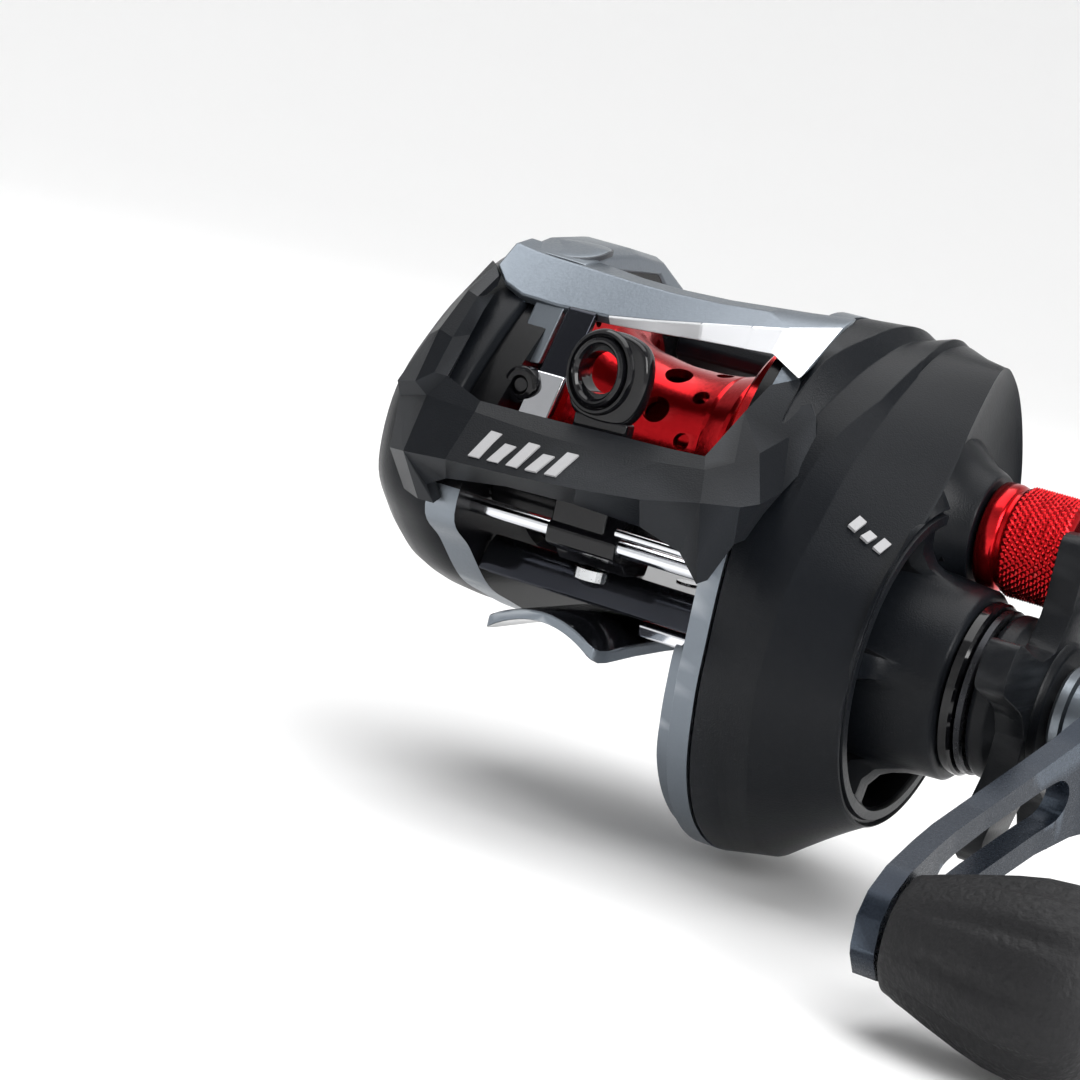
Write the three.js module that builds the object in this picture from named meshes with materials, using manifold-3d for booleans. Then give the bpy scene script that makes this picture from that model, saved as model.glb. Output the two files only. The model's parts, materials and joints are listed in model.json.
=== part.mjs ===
// Low-profile baitcasting reel, left-hand retrieve. Millimetres, +Z up.
// +X is the handle side, -Y the side the line leaves by, and X = 0 is the middle of the spool.
// The origin is the centre of the reel foot's flat underside.
import * as THREE from "three";
import { mergeVertices } from "three/addons/utils/BufferGeometryUtils.js";
import Module from "manifold-3d";

const wasm = await Module();
wasm.setup();

// ---------- driving dimensions ----------
const GAP = 0.3; // clearance left between neighbouring pieces

// the two main axes, both along X: [y, z]
const SPOOL = [1.4, 22.1];
const DRIVE = [-5.6, 5.03];

// gear train
const RETRIEVE_TEETH = 72; // main gear
const PINION_TEETH = 10;
const RETRIEVE_MODULE = 0.45;
const DRIVE_COG_TEETH = 26; // level-wind train, driven from the drive shaft
const IDLER_TEETH = 10;
const WORM_COG_TEETH = 12;
const WIND_MODULE = 0.5;
const WIND_DIRECTION = Math.atan2(8.4, -11.82); // from the drive shaft to the worm
const WIND_COG_X = [19.8, 21.4];
const BACKLASH = 0.88; // share of the full tooth thickness that is kept

const along = (from, angle, distance) => [
  from[0] + distance * Math.cos(angle),
  from[1] + distance * Math.sin(angle),
];
const pitchRadius = (teeth, module) => (teeth * module) / 2;
const IDLER = along(
  DRIVE,
  WIND_DIRECTION,
  pitchRadius(DRIVE_COG_TEETH + IDLER_TEETH, WIND_MODULE),
);
const WORM = along(
  IDLER,
  WIND_DIRECTION,
  pitchRadius(IDLER_TEETH + WORM_COG_TEETH, WIND_MODULE),
);
const TO_PINION = Math.atan2(SPOOL[1] - DRIVE[1], SPOOL[0] - DRIVE[0]);

// frame
const GEAR_RING_X = [13.6, 17.9];
const PALM_RING_X = [-19.4, -15.2];
const BRIDGE_X = [-14.9, 13.3];
const ROD = [-23.3, 11.1]; // stabiliser rod in front of the worm
const ROD_R = 1.0;
const SPOOL_R = 16.5;
const SPOOL_X = [-14.9, 12.6];
const FOOT_LENGTH = 57;
const FOOT_WIDTH = 15.5;

// gear-side cover
const COVER_FACE_X = 37.4; // flat outer face
const DISH_R = 18.4;
const NECK_END_X = 45.0;
const NECK_R = 11.2;

// controls
const CAP_X = [40.6, 51.4];
const CAP_R = 6.8;
const STAR_X = [51.9, 55.4];
const STAR_R = 20.5;
const STAR_ARMS = 5;
const ARM_ANGLE = (24 * Math.PI) / 180; // the handle's front end hangs this far down
const ARM_REACH = 48; // drive shaft to knob axis
const ARM_THICK = 2.8;
const KNOB_X = [59.4, 84];

// ---------- small workshop ----------
const part = new THREE.Group();
part.name = "baitcasting_reel";

function solid(geometry) {
  const bare = new THREE.BufferGeometry();
  const source = geometry.index ? geometry.toNonIndexed() : geometry;
  bare.setAttribute("position", source.getAttribute("position"));
  const merged = mergeVertices(bare, 1e-4);
  return new wasm.Manifold(
    new wasm.Mesh({
      numProp: 3,
      vertProperties: merged.attributes.position.array,
      triVerts: new Uint32Array(merged.index.array),
    }),
  );
}

const join = (...pieces) => pieces.reduce((sum, piece) => sum.add(piece));
const cut = (body, ...tools) => tools.reduce((left, tool) => left.subtract(tool), body);

function put(name, body, material) {
  const made = body.getMesh();
  const geometry = new THREE.BufferGeometry();
  const positions = new THREE.BufferAttribute(made.vertProperties, 3);
  geometry.setAttribute("position", positions);
  geometry.setIndex(new THREE.BufferAttribute(made.triVerts, 1));
  geometry.computeVertexNormals();
  const mesh = new THREE.Mesh(geometry, material());
  mesh.name = name;
  part.add(mesh);
}

// Shape coordinates are [y, z] and the extrusion runs along X.
const TO_X = new THREE.Matrix4().set(0, 0, 1, 0, 1, 0, 0, 0, 0, 1, 0, 0, 0, 0, 0, 1);

function shapeOf(outline, holes = []) {
  const shape = new THREE.Shape(outline.map(([a, b]) => new THREE.Vector2(a, b)));
  for (const hole of holes) {
    shape.holes.push(new THREE.Path(hole.map(([a, b]) => new THREE.Vector2(a, b))));
  }
  return shape;
}

function prism(outline, from, to, holes = []) {
  const settings = { depth: to - from, bevelEnabled: false, steps: 1 };
  const geometry = new THREE.ExtrudeGeometry(shapeOf(outline, holes), settings);
  geometry.translate(0, 0, from);
  return geometry;
}

const prismX = (outline, from, to, holes) =>
  solid(prism(outline, from, to, holes).applyMatrix4(TO_X));
// outline [x, y], standing along Z
const prismZ = (outline, from, to, holes) => solid(prism(outline, from, to, holes));
// outline [x, z], running along Y from the higher y to the lower
const prismY = (outline, from, to, holes) => {
  const geometry = prism(outline, -to, -from, holes);
  return solid(geometry.rotateX(Math.PI / 2));
};

function circle(centre, r, sides = 20, turn = 0) {
  return Array.from({ length: sides }, (_, i) => {
    const angle = turn + (2 * Math.PI * i) / sides;
    return [centre[0] + r * Math.cos(angle), centre[1] + r * Math.sin(angle)];
  });
}

const rodX = (centre, r, from, to, sides = 20) => prismX(circle(centre, r, sides), from, to);
const tubeX = (centre, outer, inner, from, to, sides = 20) =>
  prismX(circle(centre, outer, sides), from, to, [circle(centre, inner, sides)]);

// Profile [x, r], turned about the X-parallel line through centre [y, z].
function turned(profile, centre, sides = 24) {
  const points = profile.map(([x, r]) => new THREE.Vector2(r, x));
  const geometry = new THREE.LatheGeometry(points, sides);
  geometry.applyMatrix4(
    new THREE.Matrix4().set(0, 1, 0, 0, 0, 0, 1, centre[0], 1, 0, 0, centre[1], 0, 0, 0, 1),
  );
  const made = solid(geometry);
  return made.volume() < 0 ? solid(turnedInsideOut(geometry)) : made;
}

function turnedInsideOut(geometry) {
  const flipped = geometry.toNonIndexed();
  const at = flipped.getAttribute("position");
  for (let i = 0; i < at.count; i += 3) {
    const swap = [at.getX(i + 1), at.getY(i + 1), at.getZ(i + 1)];
    at.setXYZ(i + 1, at.getX(i + 2), at.getY(i + 2), at.getZ(i + 2));
    at.setXYZ(i + 2, ...swap);
  }
  return flipped;
}

// A skin over rings of [x, y, z] points, closed at both ends. Rings run towards +X.
function loft(rings) {
  const count = rings[0].length;
  const corners = [];
  const face = (a, b, c) => corners.push(...a, ...b, ...c);
  for (let k = 0; k + 1 < rings.length; k++) {
    for (let i = 0; i < count; i++) {
      const j = (i + 1) % count;
      face(rings[k][i], rings[k][j], rings[k + 1][j]);
      face(rings[k][i], rings[k + 1][j], rings[k + 1][i]);
    }
  }
  const cap = (ring, flip) => {
    const flat = ring.map(([, y, z]) => new THREE.Vector2(y, z));
    for (const [a, b, c] of THREE.ShapeUtils.triangulateShape(flat, [])) {
      if (flip) face(ring[a], ring[c], ring[b]);
      else face(ring[a], ring[b], ring[c]);
    }
  };
  cap(rings[0], true);
  cap(rings[rings.length - 1], false);
  const geometry = new THREE.BufferGeometry();
  geometry.setAttribute("position", new THREE.Float32BufferAttribute(corners, 3));
  return solid(geometry);
}

const ringAt = (x, outline) => outline.map(([y, z]) => [x, y, z]);
const shrink = (outline, centre, k) =>
  outline.map(([y, z]) => [centre[0] + (y - centre[0]) * k, centre[1] + (z - centre[1]) * k]);

// Spur gear outline with involute flanks. One tooth points along `phase`.
function gearOutline(centre, teeth, module, phase, addendum, dedendum) {
  const pressure = (20 * Math.PI) / 180;
  const involute = (a) => Math.tan(a) - a;
  const pitch = pitchRadius(teeth, module);
  const base = pitch * Math.cos(pressure);
  const tip = pitch + addendum * module;
  const root = pitch - dedendum * module;
  const halfAt = (r) => {
    const angle = r <= base ? 0 : Math.acos(base / r);
    return (BACKLASH * Math.PI) / (2 * teeth) + involute(pressure) - involute(angle);
  };
  const flank = [root, Math.max(root + 0.01, pitch), tip];
  const outline = [];
  for (let i = 0; i < teeth; i++) {
    const middle = phase + (2 * Math.PI * i) / teeth;
    for (const r of flank) outline.push(along(centre, middle - halfAt(r), r));
    for (const r of [...flank].reverse()) outline.push(along(centre, middle + halfAt(r), r));
  }
  return outline;
}

const halfTooth = (teeth) => Math.PI / teeth;

function roundedBox(halfA, halfB, r, corner = 4) {
  const outline = [];
  const corners = [
    [1, 1, 0],
    [-1, 1, 1],
    [-1, -1, 2],
    [1, -1, 3],
  ];
  for (const [sa, sb, quarter] of corners) {
    for (let i = 0; i <= corner; i++) {
      const angle = ((quarter + i / corner) * Math.PI) / 2;
      outline.push([
        sa * (halfA - r) + r * Math.cos(angle),
        sb * (halfB - r) + r * Math.sin(angle),
      ]);
    }
  }
  return outline;
}

const moved = (outline, a, b) => outline.map(([p, q]) => [p + a, q + b]);

// ---------- finishes ----------
const finish = (color, roughness, metalness) => () =>
  new THREE.MeshStandardMaterial({ color, roughness, metalness });
const gunmetal = finish(0x8d949b, 0.38, 0.9);
const polished = finish(0xc9ced2, 0.16, 1.0);
const blackShell = finish(0x1d1f21, 0.55, 0.1);
const blackGloss = finish(0x0c0c0e, 0.18, 0.2);
const redAnodised = finish(0xb51016, 0.24, 0.85);
const steel = finish(0xa9adb0, 0.3, 1.0);
const brass = finish(0xb9923f, 0.35, 0.9);
const carbon = finish(0x25272a, 0.7, 0.1);
const nylon = finish(0xd9d6cc, 0.6, 0.0);
const blueGrey = finish(0x3a4350, 0.35, 0.8);
const rubberBlack = finish(0x141415, 0.8, 0.0);

// ---------- side outlines, [y, z], front point first and running under the reel ----------
const GEAR_SIDE = [
  [-21.6, 2.4], [-20.8, -4.5], [-18.2, -13.1], [-13, -18.9], [-6.3, -22.9],
  [1.5, -24.5], [9.5, -23], [17, -18], [22.5, -9.5], [25, 0],
  [25.6, 10], [25, 20], [22.5, 30], [17.5, 37.5], [9, 41.8],
  [-1, 43], [-9.5, 39.3], [-16.5, 31], [-20.5, 21], [-22, 12.5],
];
const PALM_SIDE = [
  [-25.5, 12], [-20.8, 5.2], [-13.9, 0.6], [-8.1, -1.8], [-2, -3.6],
  [5, -4.8], [12, -5], [19, -2.5], [24.5, 2.5], [27.5, 9],
  [28.5, 16], [28, 23], [26, 30], [22, 36], [15, 41],
  [6, 43.6], [-3, 42.5], [-11, 38], [-18, 31], [-24, 22],
];
const THUMB_SLOT = { y: [20.6, 23.6], z: [26.4, 35.4], depth: 2.2 };

const box = (y, z, from, to) =>
  prismX([[y[0], z[0]], [y[1], z[0]], [y[1], z[1]], [y[0], z[1]]], from, to);

// ---------- frame: one die-casting, drawn as its two rings, top bar and bottom bridge ----------
function gearRing() {
  const lug = rodX(ROD, 2.6, GEAR_RING_X[0], GEAR_RING_X[1], 20);
  const plate = join(prismX(GEAR_SIDE, ...GEAR_RING_X), lug);
  const from = GEAR_RING_X[0] - 1;
  const to = GEAR_RING_X[1] + 1;
  const { y, z, depth } = THUMB_SLOT;
  return cut(
    plate,
    rodX(SPOOL, SPOOL_R + 0.9, from, GEAR_RING_X[0] + 1.4, 36),
    rodX(SPOOL, 5.3, from, to),
    rodX(DRIVE, 4.8, from, to),
    rodX(WORM, 2.4, from, to, 16),
    rodX(IDLER, 1.1, GEAR_RING_X[0] + 1.6, to, 12),
    rodX(ROD, ROD_R + GAP, from, GEAR_RING_X[1] - 1.2, 16),
    box(y, z, from, GEAR_RING_X[0] + depth),
  );
}

function palmRing() {
  const plate = prismX(PALM_SIDE, ...PALM_RING_X);
  const from = PALM_RING_X[0] - 1;
  const to = PALM_RING_X[1] + 1;
  const { y, z, depth } = THUMB_SLOT;
  return cut(
    plate,
    rodX(SPOOL, SPOOL_R + 1.1, from, to, 36),
    rodX(WORM, 2.4, PALM_RING_X[0] + 1.5, to, 16),
    rodX(ROD, ROD_R + GAP, PALM_RING_X[0] + 1.2, to, 16),
    box(y, z, PALM_RING_X[1] - depth, to),
  );
}

function topBar() {
  const section = [[-14.6, 36.6], [-9, 37.8], [-2, 38.9], [-0.8, 40.6], [-7.5, 41.4], [-13.8, 39.2]];
  return prismX(section, ...BRIDGE_X);
}

function bottomBridge() {
  const slab = prismX([[-16.6, 2.8], [-16, 2.4], [21, 2.4], [21, 4.4], [-16.6, 4.4]], ...BRIDGE_X);
  const bores = RIVETS_Y.map((y) => prismZ(circle([0, y], RIVET_R + GAP, 14), 0, 6));
  return cut(slab, ...bores);
}

put("frame_gear_ring", gearRing(), gunmetal);
put("frame_palm_ring", palmRing(), gunmetal);
put("frame_top_bar", topBar(), gunmetal);

// ---------- reel foot, riveted under the bridge ----------
const RIVETS_Y = [-9, 9];
const RIVET_R = 1.6;

function foot() {
  const halfW = FOOT_WIDTH / 2;
  const halfL = FOOT_LENGTH / 2;
  const side = [
    [halfW - 2.2, -halfL], [halfW, -halfL + 3], [halfW - 0.6, -12], [halfW - 0.6, 12],
    [halfW - 0.4, halfL - 8], [halfW - 2.4, halfL - 1.5], [3, halfL],
  ];
  const plan = [...side, ...side.map(([x, y]) => [-x, y]).reverse()];
  const arch = [[-8.2, 0], [8.2, 0], [8.2, 0.95], [4, 1.75], [0, 2.05], [-4, 1.75], [-8.2, 0.95]];
  const body = prismZ(plan, 0, 3).intersect(prismY(arch, -halfL - 1, halfL + 1));
  const bores = RIVETS_Y.map((y) => prismZ(circle([0, y], RIVET_R + GAP, 14), -1, 4));
  return cut(body, ...bores);
}

put("frame_bottom_bridge", bottomBridge(), gunmetal);
put("reel_foot", foot(), polished);
RIVETS_Y.forEach((y, i) => {
  const rivet = prismZ(circle([0, y], RIVET_R, 14), 0.2, 4.6);
  put(["foot_rivet_front", "foot_rivet_rear"][i], rivet, steel);
});

// ---------- front hood: a bar across the nose with a leg up each side ----------
function hood() {
  const bar = prismX(
    [[-29.6, 15.3], [-26.4, 17.2], [-25.6, 23.2], [-26, 24], [-28.9, 22.6], [-33.6, 17.8]],
    -25.6,
    23.4,
  );
  const outer = [[-13.8, 39.6], [-21.5, 33], [-26.3, 27], [-29.5, 22.4], [-33, 18], [-29.6, 15.3]];
  const leftLeg = prismX(
    [...outer, [-27, 12.2], [-25.9, 12.2], [-24.5, 22.3], [-18.5, 31.5], [-12.1, 38.2]],
    -26,
    -20.2,
  );
  const rightLeg = prismX(
    [...outer, [-26.6, 14.4], [-23.6, 14.4], [-21.2, 21.3], [-17.1, 31.5], [-10.6, 39.9]],
    18.3,
    23.4,
  );
  const corner = prismX([[-30, 15.4], [-29, 10.8], [-24.6, 11], [-24, 15.4]], 18.3, 22.4);
  return join(bar, leftLeg, rightLeg, corner);
}

put("front_hood", hood(), blackShell);

// ---------- gear-side cover with its dish, neck and cast-control post ----------
const CREASE = [
  [27, -24.8, 2.8], [26.8, -23.4, -4.6], [26.3, -19.4, -12.2], [25.6, -12.8, -18], [25, -6, -21.8],
  [24.8, 2, -22.8], [25, 10.5, -20.4], [25.3, 17, -14.5], [25.6, 21, -7], [26, 23.3, 1.5],
  [26.5, 24, 10], [27, 23.5, 19], [27, 21.5, 29], [27, 17.5, 36.8], [27.2, 10.5, 41],
  [28.3, 2, 40], [29.8, -6.6, 35], [30.3, -13.5, 27.8], [29.5, -19.6, 20.8], [28, -23.9, 12.5],
];
const OUTER_EDGE = [
  [-25.1, 3.3], [-23.1, -3.9], [-18.2, -10], [-12, -13.5], [-5.6, -14.6],
  [1.1, -13.4], [7, -10], [11.6, -4.8], [15, 1.5], [17.2, 7],
  [18.4, 13], [18.4, 20], [16.6, 27.5], [12.8, 33.5], [7.5, 37.6],
  [1.5, 38.3], [-4, 34.5], [-9.5, 27.5], [-15.5, 20.5], [-22, 12.8],
];
const COVER_WALL = 1.4;

function gearCover() {
  const shell = loft([ringAt(GEAR_RING_X[1] + GAP, GEAR_SIDE), CREASE, ringAt(COVER_FACE_X, OUTER_EDGE)]);
  const room = loft([
    ringAt(GEAR_RING_X[1] - 1, shrink(GEAR_SIDE, [1, 8], 0.94)),
    shrink3(CREASE, [1, 8], 0.94),
    ringAt(31.2, shrink(OUTER_EDGE, [0, 10], 0.93)),
  ]);
  const dish = turned(
    [[33.6, 0], [33.6, 15.6], [COVER_FACE_X - 0.4, DISH_R], [40, DISH_R], [40, 0]],
    DRIVE,
    32,
  );
  const neck = turned(
    [[30, 0], [30, 15.4], [34, 15.2], [38, 12], [40.2, 11.5], [NECK_END_X, NECK_R], [NECK_END_X, 0]],
    DRIVE,
    32,
  );
  const sealBore = rodX(DRIVE, 6.9, 25, NECK_END_X + 1, 28);
  const washerRoom = rodX(DRIVE, 13.4, 29, 32.4, 32);
  const boss = turned([[34, 0], [34, 8.6], [38.6, 8.2], [40.2, 7.2], [40.2, 0]], SPOOL, 32);
  const post = rodX(SPOOL, 4.8, 39, 48.4, 24);
  const shaftBore = rodX(SPOOL, 2.3, 30, 49, 16);
  const clearance = rodX(SPOOL, 7.2, 30, 35, 24);
  const outside = join(cut(shell, dish), neck, boss, post);
  return cut(outside, room, sealBore, washerRoom, shaftBore, clearance, ...pockets());
}

function shrink3(ring, centre, k) {
  return ring.map(([x, y, z]) => {
    const [a, b] = shrink([[y, z]], centre, k)[0];
    return [x, a, b];
  });
}

// finger-shaped hollows round the neck, with spokes left between them
function pockets() {
  return Array.from({ length: 6 }, (_, i) => {
    const at = along(DRIVE, 0.5 + (i * Math.PI) / 3, 15.2);
    return rodX(at, 2.6, 33.0, COVER_FACE_X + 2, 12);
  });
}

put("gear_side_cover", gearCover(), blackShell);

const COVER_SCREWS = [[-16.2, -9.4], [22.0, 10.2]];
COVER_SCREWS.forEach((at, i) => {
  const name = ["cover_screw_front", "cover_screw_rear"][i];
  const slot = box([at[0] - 1.6, at[0] + 1.6], [at[1] - 0.3, at[1] + 0.3], 12, 12.9);
  put(name, cut(rodX(at, 1.9, 12.3, 13.3, 16), slot), steel);
});

// ---------- bearings held by the frame and cover ----------
put("spool_bearing_gear_side", tubeX(SPOOL, 5.0, 2.6, 15.2, 17.6), steel);
put("drive_shaft_bearing", tubeX(DRIVE, 4.5, 3.1, 15.2, 17.6), steel);
put("one_way_bearing", tubeX(DRIVE, 6.6, 4.5, 36.6, 43.6), steel);

// ---------- level-wind ----------
put("stabiliser_rod", rodX(ROD, ROD_R, PALM_RING_X[0] + 1.5, GEAR_RING_X[1] - 1.5, 20), polished);

function wormShield() {
  const open = (50 * Math.PI) / 180; // half of the slot the pawl rides in, facing down
  const steps = 20;
  const sweep = 2 * Math.PI - 2 * open;
  const arc = (r) =>
    Array.from({ length: steps + 1 }, (_, i) =>
      along(WORM, -Math.PI / 2 + open + (sweep * i) / steps, r),
    );
  return prismX([...arc(2.9), ...arc(2.35).reverse()], ...BRIDGE_X);
}
put("worm_shield", wormShield(), blackGloss);

// two crossing helical grooves carry the pawl to and fro
const WORM_R = 1.9;
function wormShaft() {
  const turns = 3;
  const steps = turns * 8;
  const from = -11;
  const to = 11;
  const groove = (hand) => {
    const rings = [];
    for (let i = 0; i <= steps; i++) {
      const x = from + ((to - from) * i) / steps;
      const angle = hand * 2 * Math.PI * turns * (i / steps);
      const corner = (dx, r, da) => {
        const [y, z] = along(WORM, angle + da, r);
        return [x + dx, y, z];
      };
      const ring = [corner(0, 1.3, 0.16), corner(0, 1.3, -0.16), corner(0, 2.3, -0.3), corner(0, 2.3, 0.3)];
      rings.push(ring.reverse());
    }
    return rings;
  };
  const bar = join(rodX(WORM, WORM_R, -17.4, 18.4, 24), rodX(WORM, 1.1, 18.3, 21.9, 16));
  const grooved = cut(bar, loft(groove(1).map(faceOut)), loft(groove(-1).map(faceOut)));
  return grooved.decompose().sort((a, b) => b.volume() - a.volume())[0];
}

// turns a ring of points so that it runs the right way round when seen from +X
function faceOut(ring) {
  const area = ring.reduce((sum, [, y, z], i) => {
    const [, y2, z2] = ring[(i + 1) % ring.length];
    return sum + y * z2 - y2 * z;
  }, 0);
  return area < 0 ? [...ring].reverse() : ring;
}
put("worm_shaft", wormShaft(), steel);

function cog(centre, teeth, phase, bore, x = WIND_COG_X) {
  return prismX(gearOutline(centre, teeth, WIND_MODULE, phase, 0.7, 0.95), x[0], x[1], [
    circle(centre, bore, 16),
  ]);
}
put("worm_cog", cog(WORM, WORM_COG_TEETH, WIND_DIRECTION + Math.PI, 1.4), nylon);
put(
  "idler_cog",
  cog(IDLER, IDLER_TEETH, WIND_DIRECTION + Math.PI + halfTooth(IDLER_TEETH), 1.1),
  nylon,
);
put("idler_post", rodX(IDLER, 0.8, GEAR_RING_X[0] + 1.9, 22.2, 12), steel);
put("drive_cog", cog(DRIVE, DRIVE_COG_TEETH, WIND_DIRECTION, 3.1), nylon);

const EYE = [-1.9, 30.5]; // [x, z]
const GUIDE_Y = [-24.4, -21.4];

function ellipse(centre, a, b, sides = 20) {
  return Array.from({ length: sides }, (_, i) => {
    const angle = (2 * Math.PI * i) / sides;
    return [centre[0] + a * Math.cos(angle), centre[1] + b * Math.sin(angle)];
  });
}

function lineGuide() {
  const head = [
    [-5.2, 24.2], [3.6, 24.2], [4.9, 27], [4.9, 33], [2.6, 35.8], [-4, 35.6], [-6.3, 33.4], [-6.4, 27.4],
  ];
  const neck = [[-4.2, 12], [3.4, 12], [3.4, 24.6], [-4.2, 24.6]];
  const plate = join(prismY(head, ...GUIDE_Y), prismY(neck, GUIDE_Y[0], GUIDE_Y[1]));
  const carriage = prismX(
    [
      [-25.2, 9.2], [-22, 9.0], [-19.9, 7.2], [-15, 7.2], [-13.4, 10],
      [-13.4, 16.5], [-16, 18], [-22, 16.6], [-25.2, 13.4],
    ],
    -5,
    4.2,
  );
  return cut(
    join(plate, carriage),
    prismY(ellipse(EYE, 3.9, 4.6), GUIDE_Y[0] - 1, GUIDE_Y[1] + 1),
    rodX(WORM, 3.2, -6, 6, 24),
    rodX(ROD, ROD_R + GAP, -6, 6, 16),
    rodX(SPOOL, SPOOL_R + 0.5, -6, 6, 36),
    prismZ(circle([-0.4, WORM[0]], 1.65, 16), 6, 12),
  );
}
put("line_guide", lineGuide(), blackGloss);
put(
  "guide_ring",
  prismY(ellipse(EYE, 3.6, 4.3), -26.2, GUIDE_Y[1] + 0.4, [ellipse(EYE, 2.4, 3.1)]),
  blackGloss,
);
put(
  "pawl",
  join(
    prismZ(circle([-0.4, WORM[0]], 1.3, 16), 8.0, 10.6),
    prismZ(roundedBox(0.32, 1.1, 0.2, 2).map(([a, b]) => [a - 0.4, b + WORM[0]]), 10.5, 11.35),
  ),
  brass,
);
put("pawl_cap", prismZ(circle([-0.4, WORM[0]], 2.3, 20), 5.6, 6.9), steel);

// ---------- spool ----------
const PORTS = 6;
function spool() {
  const profile = [
    [12.6, 2.4], [12.6, 15.9], [12.3, SPOOL_R], [11.2, SPOOL_R], [10.7, 12.3], [6, 10.4], [-1, 9.8],
    [-8, 10.4], [-13, 12.3], [-13.4, SPOOL_R], [-14.6, SPOOL_R], [-14.9, 15.9], [-14.9, 11.6],
    [-8, 9.1], [-1, 8.5], [6, 9.0], [9.6, 9.6], [9.6, 4.2], [-6, 4.2], [-6, 2.4], [12.6, 2.4],
  ];
  const ports = [];
  for (const x of [-5, 2.6]) {
    for (let i = 0; i < PORTS; i++) {
      const port = prismZ(circle([x, 0], 1.5, 8), 6, 12);
      ports.push(port.rotate([(360 / PORTS) * i + 20, 0, 0]).translate([0, ...SPOOL]));
    }
  }
  return cut(turned(profile, SPOOL, 32), ...ports);
}
put("spool", spool(), redAnodised);

const PIN_X = 18.7;
function spoolShaft() {
  return turned(
    [
      [-24, 0], [-24, 1.2], [-21, 1.3], [-21, 2.1], [13.2, 2.1],
      [13.4, 2.3], [17.9, 2.3], [17.9, 0.85], [47.6, 0.85], [47.6, 0],
    ],
    SPOOL,
    20,
  );
}

// the cross pin pressed through the shaft, which the pinion's slot drives
function drivePin() {
  return prismZ(circle([PIN_X, SPOOL[0]], 0.45, 10), SPOOL[1] - 2.6, SPOOL[1] + 2.6);
}
put("spool_shaft", join(spoolShaft(), drivePin()), steel);

function brakeRotor() {
  const profile = [
    [-20.5, 10.2], [-20.5, 11.0], [-15.2, 11.0], [-15.2, 2.4], [-16.0, 2.4], [-16.0, 10.2], [-20.5, 10.2],
  ];
  return turned(profile, SPOOL, 28);
}
put("brake_rotor", brakeRotor(), steel);

// ---------- clutch: pinion, yoke, cam and thumb bar ----------
function pinion() {
  const phase = TO_PINION + Math.PI + halfTooth(PINION_TEETH);
  const teeth = prismX(gearOutline(SPOOL, PINION_TEETH, RETRIEVE_MODULE, phase, 0.9, 0.85), 22.6, 32);
  const flanges = turned(
    [[18.1, 0], [18.1, 3.4], [20.2, 3.4], [20.3, 2.3], [22, 2.3], [22.1, 3.2], [22.8, 3.2], [22.8, 0]],
    SPOOL,
    24,
  );
  const tail = rodX(SPOOL, 1.8, 31.9, 32.8, 16);
  const slot = prismZ(
    [[17.5, SPOOL[0] - 0.8], [19.5, SPOOL[0] - 0.8], [19.5, SPOOL[0] + 0.8], [17.5, SPOOL[0] + 0.8]],
    SPOOL[1] - 4,
    SPOOL[1] + 4,
  );
  return cut(join(teeth, flanges, tail), rodX(SPOOL, 1.15, 17, 34, 16), slot);
}
put("pinion", pinion(), brass);

const YOKE_ANGLE = TO_PINION - Math.PI / 2;
const YOKE_SPAN = 8.5;
const POSTS = [along(SPOOL, YOKE_ANGLE, YOKE_SPAN), along(SPOOL, YOKE_ANGLE, -YOKE_SPAN)];
const POST_R = 1.0;

function yoke() {
  const ends = POSTS.map((at) => rodX(at, 2.8, 20.6, 21.7, 20));
  const bar = prismX(moved(turnOutline(roundedBox(YOKE_SPAN, 3.9, 1), YOKE_ANGLE), ...SPOOL), 20.6, 21.7);
  const mouth = along(SPOOL, TO_PINION, 5);
  const slot = prismX(moved(turnOutline(roundedBox(2.7, 5, 0.5), YOKE_ANGLE), ...mouth), 20, 23);
  return cut(
    join(bar, ...ends),
    rodX(SPOOL, 2.7, 20, 23, 20),
    slot,
    ...POSTS.map((at) => rodX(at, POST_R + GAP, 20, 23, 16)),
  );
}

function turnOutline(outline, angle) {
  const c = Math.cos(angle);
  const s = Math.sin(angle);
  return outline.map(([a, b]) => [a * c - b * s, a * s + b * c]);
}
put("clutch_yoke", yoke(), nylon);

function coil(centre, r, wire, from, to, turns) {
  const points = [];
  const steps = turns * 8;
  for (let i = 0; i <= steps; i++) {
    const [y, z] = along(centre, (2 * Math.PI * turns * i) / steps, r);
    points.push(new THREE.Vector3(from + ((to - from) * i) / steps, y, z));
  }
  const path = new THREE.CatmullRomCurve3(points);
  const section = shapeOf(circle([0, 0], wire, 5));
  return solid(new THREE.ExtrudeGeometry(section, { steps, extrudePath: path, bevelEnabled: false }));
}
POSTS.forEach((at, i) => {
  const side = ["rear", "front"][i];
  put("yoke_post_" + side, rodX(at, POST_R, 18.2, 28.6, 14), steel);
  put("yoke_spring_" + side, coil(at, 1.8, 0.28, 22.4, 25.6, 3), steel);
});

function clutchCam() {
  const ring = tubeX(SPOOL, 7.4, 4.3, 18.5, 19.6, 28);
  const ears = [0.7, 0.7 + Math.PI].map((a) => rodX(along(SPOOL, a, 8), 1.7, 18.5, 19.6, 14));
  return join(ring, ...ears);
}
put("clutch_cam", clutchCam(), nylon);

function thumbBar() {
  const pad = prismX(
    [[19.6, 31.4], [21.5, 30], [25.6, 30.6], [26.4, 32.6], [24.4, 34.8], [20.6, 34.4]],
    -14.8,
    13.2,
  );
  const tabs = box([20.9, 23.3], [31.2, 34.6], PALM_RING_X[1] - 1.9, GEAR_RING_X[0] + 1.9);
  return join(pad, tabs);
}
put("thumb_bar", thumbBar(), blackShell);

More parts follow.
